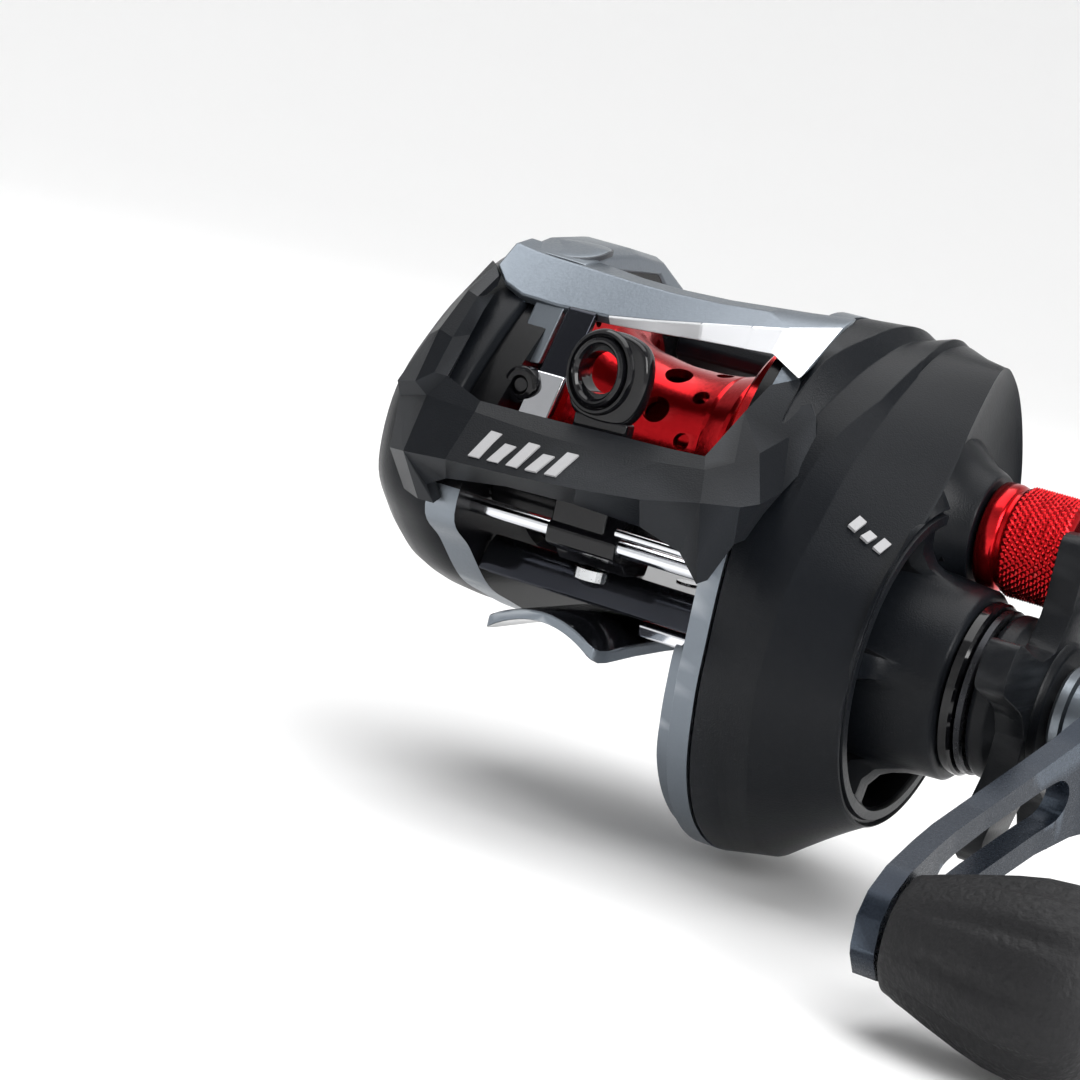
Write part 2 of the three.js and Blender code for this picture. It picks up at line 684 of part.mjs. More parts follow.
// ---------- drive train on the drive shaft ----------
put(
  "drive_shaft",
  turned(
    [
      [15.3, 0], [15.3, 2.8], [24.2, 2.8], [24.2, 4.6], [25.1, 4.6],
      [25.1, 2.8], [57, 2.8], [57, 2.4], [67.2, 2.4], [67.2, 0],
    ],
    DRIVE,
    24,
  ),
  steel,
);

function mainGear() {
  const disc = prismX(
    gearOutline(DRIVE, RETRIEVE_TEETH, RETRIEVE_MODULE, TO_PINION, 0.6, 1.1),
    25.4,
    28.4,
    [circle(DRIVE, 3.1, 24)],
  );
  const lightening = Array.from({ length: 6 }, (_, i) =>
    rodX(along(DRIVE, (i * Math.PI) / 3, 11.6), 2, 25, 29, 12),
  );
  return cut(disc, ...lightening);
}
put("main_gear", mainGear(), brass);
put("drag_washer_carbon", tubeX(DRIVE, 11.6, 3.3, 28.7, 29.5, 28), carbon);
put("drag_washer_steel", tubeX(DRIVE, 11.8, 3.1, 29.8, 30.6, 28), steel);
put(
  "clutch_sleeve",
  turned([[32.3, 3.1], [32.3, 5.6], [33.6, 5.6], [33.8, 4.2], [46, 4.2], [46, 3.1], [32.3, 3.1]], DRIVE, 28),
  steel,
);
put(
  "spacer_ring_inner",
  turned([[46.3, 3.1], [46.3, 9.4], [47.6, 9.8], [47.9, 9.4], [47.9, 3.1], [46.3, 3.1]], DRIVE, 32),
  gunmetal,
);
put(
  "drag_spring_washer",
  turned([[48.2, 3.1], [49.0, 8.2], [49.6, 8.2], [48.8, 3.1], [48.2, 3.1]], DRIVE, 28),
  steel,
);

function starDrag() {
  const outline = [];
  for (let i = 0; i < STAR_ARMS; i++) {
    const middle = Math.PI / 2 + (2 * Math.PI * i) / STAR_ARMS;
    const point = (da, r) => outline.push(along(DRIVE, middle + da, r));
    point(-0.5, 9);
    point(-0.2, 13.5);
    point(-0.16, STAR_R - 1.6);
    point(-0.09, STAR_R);
    point(0.09, STAR_R);
    point(0.16, STAR_R - 1.6);
    point(0.2, 13.5);
    point(0.5, 9);
  }
  const arms = prismX(outline, ...STAR_X);
  const hub = turned([[49.9, 0], [49.9, 8.6], [52, 9.6], [56.2, 8.2], [56.2, 0]], DRIVE, 32);
  return cut(join(arms, hub), rodX(DRIVE, 3.1, 49, 57, 24));
}
put("star_drag", starDrag(), blackShell);
put("handle_collar", tubeX(DRIVE, 5.2, 3.1, 56.5, 62.3), gunmetal);

// ---------- handle ----------
const aboutDrive = (body) =>
  body.translate([0, -DRIVE[0], -DRIVE[1]]).rotate([(ARM_ANGLE * 180) / Math.PI, 0, 0]).translate([0, ...DRIVE]);

function handleArm() {
  const bend = [[0, 64.1], [8, 64.1], [13, 62.7], [20, 60.8], [30, 58.8], [40, 57.5], [56, 57.3]];
  const upper = bend.map(([r, x]) => [x + ARM_THICK / 2, r]);
  const lower = bend.map(([r, x]) => [x - ARM_THICK / 2, r]);
  const mirrored = (line) => line.slice(1).map(([x, r]) => [x, -r]).reverse();
  const profile = [...mirrored(upper), ...upper, ...[...lower].reverse(), ...mirrored(lower).reverse()];
  const strip = prismZ(moved(profile, 0, DRIVE[0]), DRIVE[1] - 12, DRIVE[1] + 12);
  const half = [
    [ARM_REACH + 5.2, -2.4], [ARM_REACH + 5.2, 2.4], [ARM_REACH + 2.6, 5.2], [ARM_REACH - 3, 5.6],
    [30, 5.2], [14, 6], [7, 8.2], [0, 8.6],
  ];
  const back = half.slice(0, -1).map(([a, b]) => [-a, -b]);
  const closing = [[0, -8.6], [7, -8.2], [14, -6], [30, -5.2], [ARM_REACH - 3, -5.6], [ARM_REACH + 2.6, -5.2]];
  const far = closing.map(([a, b]) => [-a, -b]).slice(1);
  const plan = [...half, ...far, ...back, ...closing];
  const slots = [1, -1].map((side) => moved(roundedBox(7.5, 2.6, 2.5), side * 27.5, 0));
  const toPlan = (outline) => outline.map(([a, b]) => [a + DRIVE[0], b + DRIVE[1]]);
  const sheet = prismX(toPlan(orient(plan)), 50, 70, slots.map(toPlan));
  const bores = [0, ARM_REACH, -ARM_REACH].map((r) =>
    rodX([DRIVE[0] + r, DRIVE[1]], r ? 2.4 : 2.7, 50, 70, 20),
  );
  return aboutDrive(cut(strip.intersect(sheet), ...bores));
}

function orient(outline) {
  return THREE.ShapeUtils.isClockWise(outline.map(([a, b]) => new THREE.Vector2(a, b)))
    ? [...outline].reverse()
    : outline;
}
put("handle_arm", handleArm(), blueGrey);
put("handle_nut", prismX(circle(DRIVE, 6, 6), 65.9, 69.4).subtract(rodX(DRIVE, 2.7, 65, 68)), polished);
put(
  "nut_retainer",
  turned([[69.7, 0], [69.7, 5.6], [70.6, 5.2], [70.9, 3], [70.9, 0]], DRIVE, 24),
  blackGloss,
);

const KNOB_ENDS = [
  ["front", along(DRIVE, ARM_ANGLE, -ARM_REACH)],
  ["rear", along(DRIVE, ARM_ANGLE, ARM_REACH)],
];
for (const [side, at] of KNOB_ENDS) {
  const post = turned([[55.4, 0], [55.4, 3.2], [55.6, 3.2], [55.6, 2.1], [80, 2.1], [80, 0]], at, 18);
  put("knob_post_" + side, post, steel);
  const grip = turned(
    [[KNOB_X[0], 2.4], [KNOB_X[0], 6.4], [61.5, 7.2], [66, 8.6], [72, 10.4], [78, 10.6], [82, 9], [82.6, 7.4],
      [82.6, 6.2], [81, 6.2], [81, 2.4], [KNOB_X[0], 2.4]],
    at,
    20,
  );
  put("knob_" + side, grip, rubberBlack);
  const capProfile = [[81.3, 0], [81.3, 5.9], [83.4, 5.6], [KNOB_X[1], 3], [KNOB_X[1], 0]];
  put("knob_cap_" + side, turned(capProfile, at, 24), blackGloss);
}

// ---------- cast-control cap ----------
function castCap() {
  const knurls = 24;
  const ribbed = Array.from({ length: knurls * 2 }, (_, i) =>
    along(SPOOL, (Math.PI * i) / knurls, i % 2 ? CAP_R : CAP_R - 0.35),
  );
  const body = join(
    turned([[CAP_X[0], 0], [CAP_X[0], 6.5], [42, 6.6], [44.2, 6.2], [45, 6.2], [45, 0]], SPOOL, 32),
    prismX(ribbed, 44.4, CAP_X[1] - 0.8),
    turned([[50, 0], [50, 6.3], [CAP_X[1], 5.6], [CAP_X[1], 0]], SPOOL, 32),
  );
  return cut(body, rodX(SPOOL, 5.15, 40, 49.4, 28));
}
put("cast_control_cap", castCap(), redAnodised);
put("cast_control_shim", rodX(SPOOL, 4.4, 48.7, 49.2, 20), brass);

// ---------- palm side: cover, bearing, brake magnets and dial ----------
const PALM_CENTRE = [2, 19.4];
function palmCover() {
  const shell = loft([
    ringAt(-32.5, shrink(PALM_SIDE, PALM_CENTRE, 0.7)),
    ringAt(-30.4, shrink(PALM_SIDE, PALM_CENTRE, 0.86)),
    ringAt(-26, shrink(PALM_SIDE, PALM_CENTRE, 0.965)),
    ringAt(PALM_RING_X[0] - GAP, PALM_SIDE),
  ]);
  const room = loft([
    ringAt(-30.3, shrink(PALM_SIDE, PALM_CENTRE, 0.66)),
    ringAt(-28.6, shrink(PALM_SIDE, PALM_CENTRE, 0.8)),
    ringAt(-25.4, shrink(PALM_SIDE, PALM_CENTRE, 0.9)),
    ringAt(-19, shrink(PALM_SIDE, PALM_CENTRE, 0.93)),
  ]);
  const boss = rodX(SPOOL, 6.2, -31, -17.2, 28);
  return cut(join(cut(shell, room), boss), rodX(SPOOL, 4.8, -25, -16, 24));
}
put("palm_side_cover", palmCover(), blackShell);
put("spool_bearing_palm_side", tubeX(SPOOL, 4.5, 1.6, -24.4, -21.8), steel);
put("brake_magnet_ring", tubeX(SPOOL, 9.6, 6.5, -21.5, -16.5, 32), carbon);

function brakeDial() {
  const ribs = 24;
  const rim = Array.from({ length: ribs * 2 }, (_, i) =>
    along(SPOOL, (Math.PI * i) / ribs, i % 2 ? 9 : 8.5),
  );
  const recess = box([SPOOL[0] - 6, SPOOL[0] + 6], [SPOOL[1] - 1, SPOOL[1] + 1], -35, -34);
  return cut(prismX(rim, -34.4, -32.8), recess);
}
put("brake_dial", brakeDial(), blackGloss);

export default part;
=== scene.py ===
import json
import math

import bmesh
import bpy
from mathutils import Matrix, Vector


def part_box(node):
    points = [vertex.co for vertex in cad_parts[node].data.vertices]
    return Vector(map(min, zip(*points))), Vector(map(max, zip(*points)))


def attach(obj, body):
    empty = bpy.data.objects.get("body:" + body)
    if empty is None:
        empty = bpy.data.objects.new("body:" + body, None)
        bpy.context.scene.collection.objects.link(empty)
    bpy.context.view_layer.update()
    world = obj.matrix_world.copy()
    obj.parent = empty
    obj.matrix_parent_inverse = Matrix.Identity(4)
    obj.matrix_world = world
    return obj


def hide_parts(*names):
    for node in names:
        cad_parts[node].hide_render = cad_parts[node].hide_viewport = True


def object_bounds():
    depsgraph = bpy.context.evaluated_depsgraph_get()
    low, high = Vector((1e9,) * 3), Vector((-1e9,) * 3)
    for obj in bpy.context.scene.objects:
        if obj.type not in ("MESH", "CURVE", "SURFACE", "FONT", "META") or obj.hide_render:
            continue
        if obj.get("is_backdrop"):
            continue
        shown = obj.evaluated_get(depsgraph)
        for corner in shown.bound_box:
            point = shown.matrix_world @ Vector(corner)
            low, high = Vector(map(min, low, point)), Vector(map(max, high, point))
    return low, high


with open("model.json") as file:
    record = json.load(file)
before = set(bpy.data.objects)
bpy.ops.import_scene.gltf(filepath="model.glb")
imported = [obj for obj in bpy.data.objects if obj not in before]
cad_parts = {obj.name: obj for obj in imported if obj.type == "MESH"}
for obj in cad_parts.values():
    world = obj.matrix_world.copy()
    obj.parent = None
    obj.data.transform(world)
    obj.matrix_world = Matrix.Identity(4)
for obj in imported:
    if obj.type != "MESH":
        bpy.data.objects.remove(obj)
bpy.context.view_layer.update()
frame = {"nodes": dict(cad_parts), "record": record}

# ---------------------------------------------------------------------------------------------
# Gear-side cover. Moulded in graphite-filled nylon with a fine satin skin: two broad bands wrap
# the side, and the outer face sinks into a dish with finger hollows round a tapered neck.
# ---------------------------------------------------------------------------------------------


def finish_of(name, base, second, metal=0.0, rough=(0.3, 0.4), grain=900, bump=0.02, wear=None,
              patch=18, specular=0.5):
    """A procedural finish: two close tones in soft patches, a fine grain that also moves the
    roughness and the bump, and a paler rub along the sharp edges."""
    material = bpy.data.materials.new(name)
    material.use_nodes = True
    tree = material.node_tree
    shader = tree.nodes["Principled BSDF"]
    shader.inputs["Metallic"].default_value = metal
    shader.inputs["Specular IOR Level"].default_value = specular
    place = tree.nodes.new("ShaderNodeTexCoord")
    cloud = tree.nodes.new("ShaderNodeTexNoise")
    cloud.inputs["Scale"].default_value = patch
    cloud.inputs["Detail"].default_value = 3
    fine = tree.nodes.new("ShaderNodeTexNoise")
    fine.inputs["Scale"].default_value = grain
    fine.inputs["Detail"].default_value = 2
    for noise in (cloud, fine):
        tree.links.new(place.outputs["Object"], noise.inputs["Vector"])
    tones = tree.nodes.new("ShaderNodeValToRGB")
    tones.color_ramp.elements[0].position = 0.35
    tones.color_ramp.elements[0].color = (*base, 1)
    tones.color_ramp.elements[1].position = 0.68
    tones.color_ramp.elements[1].color = (*second, 1)
    tree.links.new(cloud.outputs["Fac"], tones.inputs["Fac"])
    colour = tones.outputs["Color"]
    if wear:
        bare, amount = wear
        edges = tree.nodes.new("ShaderNodeNewGeometry")
        rub = tree.nodes.new("ShaderNodeValToRGB")
        rub.color_ramp.elements[0].position = 0.53
        rub.color_ramp.elements[0].color = (0, 0, 0, 1)
        rub.color_ramp.elements[1].position = 0.62
        rub.color_ramp.elements[1].color = (amount, amount, amount, 1)
        tree.links.new(edges.outputs["Pointiness"], rub.inputs["Fac"])
        mix = tree.nodes.new("ShaderNodeMix")
        mix.data_type = "RGBA"
        mix.inputs[7].default_value = (*bare, 1)
        tree.links.new(rub.outputs["Color"], mix.inputs[0])
        tree.links.new(colour, mix.inputs[6])
        colour = mix.outputs[2]
    tree.links.new(colour, shader.inputs["Base Color"])
    span = tree.nodes.new("ShaderNodeMapRange")
    span.inputs["From Min"].default_value = 0.3
    span.inputs["From Max"].default_value = 0.7
    span.inputs["To Min"].default_value = rough[0]
    span.inputs["To Max"].default_value = rough[1]
    tree.links.new(fine.outputs["Fac"], span.inputs["Value"])
    tree.links.new(span.outputs["Result"], shader.inputs["Roughness"])
    relief = tree.nodes.new("ShaderNodeBump")
    relief.inputs["Strength"].default_value = bump
    relief.inputs["Distance"].default_value = 0.0004
    tree.links.new(fine.outputs["Fac"], relief.inputs["Height"])
    tree.links.new(relief.outputs["Normal"], shader.inputs["Normal"])
    return material


satin_graphite = finish_of(
    "satin_graphite", (0.0038, 0.0048, 0.0066), (0.0058, 0.0070, 0.0092), rough=(0.30, 0.38),
    grain=5200, bump=0.12, wear=((0.035, 0.038, 0.043), 0.35), patch=30, specular=0.16,
)
# a darker and rougher finish for the finger hollows: painted shade, so that they read as deep
hollow_painted_shade = finish_of(
    "hollow_painted_shade", (0.0016, 0.0018, 0.0024), (0.0026, 0.0028, 0.0036), rough=(0.5, 0.6),
    grain=4200, bump=0.15, patch=30, specular=0.05,
)


def piece_from(name, points, faces, material, body, replaced=(), soften=0.0, angle=28,
               segments=3):
    """Makes one rigid piece from points in mm, softens its edges and hangs it on its body."""
    mesh = bpy.data.meshes.new(name)
    mesh.from_pydata([Vector(p) / 1000 for p in points], [], faces)
    work = bmesh.new()
    work.from_mesh(mesh)
    bmesh.ops.remove_doubles(work, verts=work.verts, dist=1e-6)
    bmesh.ops.recalc_face_normals(work, faces=work.faces)
    work.to_mesh(mesh)
    work.free()
    mesh.materials.append(material)
    piece = bpy.data.objects.new(name, mesh)
    bpy.context.scene.collection.objects.link(piece)
    for face in mesh.polygons:
        face.use_smooth = True
    mesh.set_sharp_from_angle(angle=math.radians(angle))
    if soften:
        round_edges(piece, soften, angle, segments)
    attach(piece, body)
    if replaced:
        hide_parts(*replaced)
    return piece


def round_edges(piece, width, angle=28, segments=3):
    """Rounds every edge sharper than the angle, to the width in mm."""
    bevel = piece.modifiers.new("rounded edges", "BEVEL")
    bevel.width = width / 1000
    bevel.segments = segments
    bevel.limit_method = "ANGLE"
    bevel.angle_limit = math.radians(angle)
    bevel.harden_normals = True
    piece.data.set_sharp_from_angle(angle=math.radians(angle))


def smooth_loop(points, steps):
    """Closed Catmull-Rom curve through the points, with so many steps to each span."""
    loop = []
    count = len(points)
    for i in range(count):
        p0, p1, p2, p3 = (Vector(points[(i + k - 1) % count]) for k in range(4))
        for k in range(steps):
            t = k / steps
            loop.append(0.5 * ((2 * p1) + (p2 - p0) * t + (2 * p0 - 5 * p1 + 4 * p2 - p3) * t * t
                               + (3 * p1 - p0 - 3 * p2 + p3) * t ** 3))
    return [tuple(p) for p in loop]


def skin_faces(rings, around, closed_ends=(True, True)):
    """Faces that join rings of points one after another, with a face closing each end."""
    faces = []
    for k in range(rings - 1):
        for i in range(around):
            j = (i + 1) % around
            faces.append((k * around + i, k * around + j, (k + 1) * around + j, (k + 1) * around + i))
    if closed_ends[0]:
        faces.append(tuple(range(around - 1, -1, -1)))
    if closed_ends[1]:
        faces.append(tuple((rings - 1) * around + i for i in range(around)))
    return faces


def skin_round(rings, around):
    """Faces that join rings of points one after another, and the last back to the first."""
    faces = skin_faces(rings, around, (False, False))
    last = (rings - 1) * around
    faces += [(last + i, last + (i + 1) % around, (i + 1) % around, i) for i in range(around)]
    return faces


def polar(centre, angle, radius):
    """The point at a radius and an angle from a centre."""
    return (centre[0] + radius * math.cos(angle), centre[1] + radius * math.sin(angle))


SEAM_X = 18.2
# side outline of the casting and of the cover's edge, front point first, running underneath
GEAR_SIDE = [
    (-21.8, 2.4), (-21.2, -4), (-18.9, -12), (-14.2, -18.4), (-7.4, -22.6),
    (0.5, -24.4), (9.0, -23.4), (17, -18), (22.5, -9.5), (25, 0),
    (25.6, 10), (25, 20), (22.5, 30), (17.5, 37.5), (9, 41.8),
    (-1, 42.9), (-9.5, 39.3), (-16.3, 31), (-20.6, 21), (-22, 12.5),
]
CREASE = [
    (26.7, -24.8, 2.8), (26.6, -23.5, -4.6), (26.3, -19.6, -12.2), (25.6, -13.0, -18.1),
    (25, -5.8, -21.8), (24.8, 2, -23.0), (25, 10.5, -20.8), (25.3, 17.3, -14.8), (25.6, 21.4, -7),
    (26, 23.7, 1.5), (26.5, 24.3, 10), (27, 23.7, 19), (27, 21.5, 29), (27.2, 17.5, 36.8),
    (29.0, 10.5, 42.0), (28.6, 2, 41.2), (28.4, -7.3, 35.5), (27.9, -14.6, 28.2), (27.7, -20.0, 20.9),
    (27.1, -23.9, 12.5),
]
OUTER_EDGE = [
    (37.2, -25.1, 3.3), (37.2, -23.1, -3.9), (37.2, -18.2, -10), (37.1, -12, -13.5),
    (37.0, -5.6, -14.6), (37, 1.1, -13.4), (37, 7, -10), (37, 11.6, -4.8), (37, 15, 1.5),
    (37, 17.2, 7), (37, 18.4, 13), (37, 18.2, 20), (36.6, 16.8, 28), (36.0, 13.6, 35),
    (35.6, 9.2, 39.6), (35.9, 2.8, 41.0), (36.5, -3.8, 34.9), (37.2, -9.5, 27.5),
    (37.2, -15.5, 20.5), (37.2, -22, 12.8),
]
# three folds run up the front of the first band, from the hood's seam to the top: for each one,
# how far across the band it lies at stations counted down from the top, and how proud it stands
FOLD_STATIONS = (104, 112, 118, 124, 130, 135, 140, 146)
FOLDS = [
    ((0.50, 0.50, 0.48, 0.34, 0.13, 0.06, 0.05, 0.05), 0.75),
    ((0.66, 0.66, 0.63, 0.57, 0.47, 0.34, 0.30, 0.30), -0.55),
    ((0.86, 0.90, 0.93, 0.92, 0.86, 0.70, 0.60, 0.58), 0.70),
]
FOLD_STRENGTH = (0.0, 0.6, 1.0, 1.0, 1.0, 1.0, 0.7, 0.0)
FOLD_HALF = 0.012
BAND_MIDDLE = (2, 9)


def along_stations(values, i):
    """The value at station i, read between the listed stations and held beyond them."""
    if i <= FOLD_STATIONS[0]:
        return values[0]
    for k in range(1, len(FOLD_STATIONS)):
        if i <= FOLD_STATIONS[k]:
            share = (i - FOLD_STATIONS[k - 1]) / (FOLD_STATIONS[k] - FOLD_STATIONS[k - 1])
            return values[k - 1] + (values[k] - values[k - 1]) * share
    return values[-1]


def folded(seam, crease, fold, side):
    """One ring across the first band that follows a fold, standing out from the flat band."""
    across, proud = fold
    count = len(seam)
    ring = []
    for i in range(count):
        a, b = Vector(seam[i]), Vector(crease[i])
        run = Vector(seam[(i + 1) % count]) - Vector(seam[i - 1])
        out = run.cross(b - a).normalized()
        if out.y * (a.y - BAND_MIDDLE[0]) + out.z * (a.z - BAND_MIDDLE[1]) < 0:
            out = -out
        lift = proud * along_stations(FOLD_STRENGTH, i)
        ring.append(tuple(a.lerp(b, along_stations(across, i) + side) + out * lift))
    return ring


def axis_of(node):
    """Where a turned node's axis crosses the side view, as (y, z) in mm."""
    low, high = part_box(node)
    return (1000 * (low[1] + high[1]) / 2, 1000 * (low[2] + high[2]) / 2)


# the dish is sunk round the drive shaft, and the cast-control boss stands up and behind it
DRIVE_AXIS = axis_of("main_gear")
BOSS_DIRECTION = math.atan2(17.07, 7.0)
BOSS_SPREAD = 0.9  # cosine of the angle that the boss's foot takes up on each side
NECK_R = 12.6
DISH_X = 37.6
# across the dish, outside to neck: radius, height on a spoke, height in a finger hollow
DISH = [
    (19.35, 37.5, 37.5), (19.1, 37.0, 37.0), (18.8, 37.0, 37.0), (18.6, 37.6, 37.6),
    (17.5, 37.6, 37.6), (17.2, 37.3, 36.9), (16.8, 37.0, 32.6), (14.8, 37.0, 31.4),
    (13.2, 38.0, 31.6), (12.5, 39.3, 33.6), (11.95, 41.0, 40.0), (11.6, 43.0, 42.8),
    (11.5, 44.6, 44.6), (11.0, 45.1, 45.1), (9.9, 45.1, 45.1), (9.8, 44.2, 44.2), (6.9, 44.2, 44.2),
    (6.9, 36, 36),
]
HOLLOWS = 5
FIRST_SPOKE = math.radians(177)
SPOKE_SHARE = 0.15
WALL_SHARE = 0.17
HOLLOW_RADII = (12.0, 17.4)
HOLLOW_DEPTHS = (0.030, 0.0367)
# the outer face falls this much on its upper half, round the cap
FACE_SINK = 1.8
SINK_FROM_Z = 14
SINK_OVER = 14
FACE_DOME = 0.3


def hollow_share(angle):
    """0 on a spoke, 1 in a finger hollow."""
    turn = ((angle - FIRST_SPOKE) * HOLLOWS / (2 * math.pi)) % 1.0
    from_spoke = min(turn, 1 - turn) * 2
    share = min(max((from_spoke - SPOKE_SHARE) / WALL_SHARE, 0.0), 1.0)
    return share * share * (3 - 2 * share)


def gear_side_cover():
    """Rings from the seam over the folds and both bands, across the face and into the dish."""
    steps = 8
    seam = smooth_loop([(SEAM_X, y, z) for y, z in GEAR_SIDE], steps)
    crease = smooth_loop(CREASE, steps)
    edge = smooth_loop(OUTER_EDGE, steps)
    around = len(edge)
    middle_y = sum(y for _, y, _ in seam) / around
    middle_z = sum(z for _, _, z in seam) / around

    def pulled(ring, share, shift):
        return [(x + shift, middle_y + (y - middle_y) * share, middle_z + (z - middle_z) * share)
                for x, y, z in ring]

    def between(a, b, t):
        return [tuple(Vector(p).lerp(Vector(q), t)) for p, q in zip(a, b)]

    rings = [pulled(seam, 0.9, 0.4), pulled(seam, 0.985, 0.0), pulled(seam, 0.998, 0.3)]
    rings.append(between(seam, crease, 0.03))
    for fold in FOLDS:
        for side in (-FOLD_HALF, FOLD_HALF):
            rings.append(folded(seam, crease, fold, side))
    rings += [between(seam, crease, 0.985)]
    rings += [between(crease, edge, t) for t in (0.015, 0.5, 0.975)]
    rings.append([(x + 0.2, y, z) for x, y, z in between(crease, edge, 0.998)])
    angles = [math.atan2(z - DRIVE_AXIS[1], y - DRIVE_AXIS[0]) for _, y, z in edge]
    rim = [(DISH_X, *polar(DRIVE_AXIS, a, DISH[0][0])) for a in angles]
    for t in (0.12, 0.55, 0.9):
        face = []
        for p, q in zip(edge, rim):
            x, y, z = Vector(p).lerp(Vector(q), t)
            sink = FACE_SINK * math.sin(math.pi * t) * min(max((z - SINK_FROM_Z) / SINK_OVER, 0), 1)
            face.append((x + FACE_DOME * (1 - t) - sink, y, z))
        rings.append(face)
    for radius, spoke, hollow in DISH:
        ring = []
        for a in angles:
            share = hollow_share(a)
            # no finger hollow is cut where the cast-control boss stands
            if math.cos(a - BOSS_DIRECTION) > BOSS_SPREAD and radius > NECK_R:
                share = 0.0
            ring.append((spoke + (hollow - spoke) * share, *polar(DRIVE_AXIS, a, radius)))
        rings.append(ring)
    points = [p for ring in rings for p in ring]
    faces = skin_faces(len(rings), around, (True, True))
    cover = piece_from("gear_side_cover_shell", points, faces, satin_graphite, "frame",
                       ("gear_side_cover",), angle=48)
    # faces sunk in the finger hollows take the second, darker finish: painted shade for their depth
    cover.data.materials.append(hollow_painted_shade)
    for face in cover.data.polygons:
        y = 1000 * face.center.y - DRIVE_AXIS[0]
        z = 1000 * face.center.z - DRIVE_AXIS[1]
        in_ring = HOLLOW_RADII[0] < math.hypot(y, z) < HOLLOW_RADII[1]
        sunk = HOLLOW_DEPTHS[0] < face.center.x < HOLLOW_DEPTHS[1]
        if in_ring and sunk and hollow_share(math.atan2(z, y)) > 0.35:
            face.material_index = 1
    flats = cover.modifiers.new("flat bands", "WEIGHTED_NORMAL")
    flats.keep_sharp = True
    return cover


gear_side_cover()


def turned_points(profile, centre, steps):
    """The points of a profile carried round its axis."""
    points = []
    for x, r in profile:
        for i in range(steps):
            points.append((x, *polar(centre, 2 * math.pi * i / steps, r)))
    return points


def turned_piece(name, profile, centre, material, body, replaced=(), steps=96, soften=0.0,
                 angle=28):
    """A piece turned about an axis along X from its [x, radius] profile. The profile closes on
    itself, or starts and ends on the axis."""
    solid = profile[0][1] == 0
    line = profile[1:-1] if solid else profile
    points = turned_points(line, centre, steps)
    faces = skin_faces(len(line), steps) if solid else skin_round(len(line), steps)
    return piece_from(name, points, faces, material, body, replaced, soften, angle)


# ---------------------------------------------------------------------------------------------
# Cast-control boss. The flared foot and the threaded post that the red cap screws onto, moulded
# in one with the gear-side cover, in line with the spool.
# ---------------------------------------------------------------------------------------------
SPOOL_AXIS = axis_of("spool")
turned_piece(
    "cast_control_boss",
    [(35.2, 10.4), (36.6, 9.2), (38.0, 8.0), (39.6, 7.35), (40.2, 7.0), (40.2, 4.9),
     (48.4, 4.9), (48.4, 2.4), (36, 2.4)],
    SPOOL_AXIS, satin_graphite, "frame", soften=0.2,
)

# ---------------------------------------------------------------------------------------------
# Gear-side ring of the frame. The frame is one aluminium die-casting in satin gunmetal; this ring
# stands between the spool and the gears, with black sheets on its inner face and behind it for painted
# shade, and a thicker guard below.
# ---------------------------------------------------------------------------------------------
gunmetal_satin = finish_of(
    "gunmetal_satin", (0.15, 0.172, 0.198), (0.185, 0.21, 0.238), metal=0.85, rough=(0.30, 0.4),
    grain=2600, bump=0.05, wear=((0.45, 0.48, 0.51), 0.5),
)
# black for the worm tube, and painted shade on the rings' inner faces and in the recess behind the spool
black_and_painted_shade = finish_of(
    "black_and_painted_shade", (0.0022, 0.0024, 0.003), (0.0036, 0.0038, 0.0046), rough=(0.2, 0.26), grain=4200,
    bump=0.02, specular=0.2,
)


def plate_piece(name, outline, from_x, to_x, holes, material, body, replaced=(), soften=0.25,
                smooth=6):
    """A flat casting between two X stations, with round or shaped holes through it."""
    sheet = bpy.data.curves.new(name, "CURVE")
    sheet.dimensions = "2D"
    sheet.fill_mode = "BOTH"
    sheet.extrude = (to_x - from_x) / 2000
    for k, loop in enumerate([outline, *holes]):
        if smooth and len(loop) < 60:
            loop = [p[:2] for p in smooth_loop([(*p, 0) for p in loop], smooth)]
        spline = sheet.splines.new("POLY")
        spline.points.add(len(loop) - 1)
        for point, (y, z) in zip(spline.points, loop):
            point.co = (y / 1000, z / 1000, 0, 1)
        spline.use_cyclic_u = True
    holder = bpy.data.objects.new(name + "_line", sheet)
    bpy.context.scene.collection.objects.link(holder)
    bpy.context.view_layer.update()
    made = bpy.data.meshes.new_from_object(holder.evaluated_get(bpy.context.evaluated_depsgraph_get()))
    turn = Matrix(((0, 0, 1, (from_x + to_x) / 2000), (1, 0, 0, 0), (0, 1, 0, 0), (0, 0, 0, 1)))
    made.transform(turn)
    points = [tuple(v.co * 1000) for v in made.vertices]
    faces = [tuple(f.vertices) for f in made.polygons]
    bpy.data.objects.remove(holder)
    bpy.data.meshes.remove(made)
    return piece_from(name, points, faces, material, body, replaced, soften, 40)


def circle_of(centre, radius, count=72):
    """A round hole's outline."""
    return [polar(centre, 2 * math.pi * i / count, radius) for i in range(count)]


SPOOL_WINDOW_R = 17.3
plate_piece("frame_gear_ring_casting", GEAR_SIDE, 15.3, 17.95,
            [circle_of(SPOOL_AXIS, SPOOL_WINDOW_R)], gunmetal_satin, "frame",
            ("frame_gear_ring",), 0.35)
# a black ring on the ring's face by the spool: painted shade
plate_piece("frame_gear_ring_shade_sheet",
            [polar(SPOOL_AXIS, math.radians(a), SPOOL_WINDOW_R + 2.0) for a in range(0, 360, 5)],
            13.6, 15.4, [circle_of(SPOOL_AXIS, SPOOL_WINDOW_R - 0.2)], black_and_painted_shade, "frame",
            soften=0.2, smooth=0)
# the ring is thicker below, where it guards the gears; its inner edge is stepped
plate_piece("frame_gear_ring_guard",
            [(-20.2, 1.2), (-20.2, -2.4), (-19.6, -7), (-18.0, -12.2), (-13.6, -17.4), (-7.2, -21.4),
             (0.5, -23.3), (8, -22.6), (13, -20), (9, -8), (0, -3.5), (-12, -1.2), (-18.6, 1.4)],
            13.5, 15.6, [], gunmetal_satin, "frame", soften=0.4)
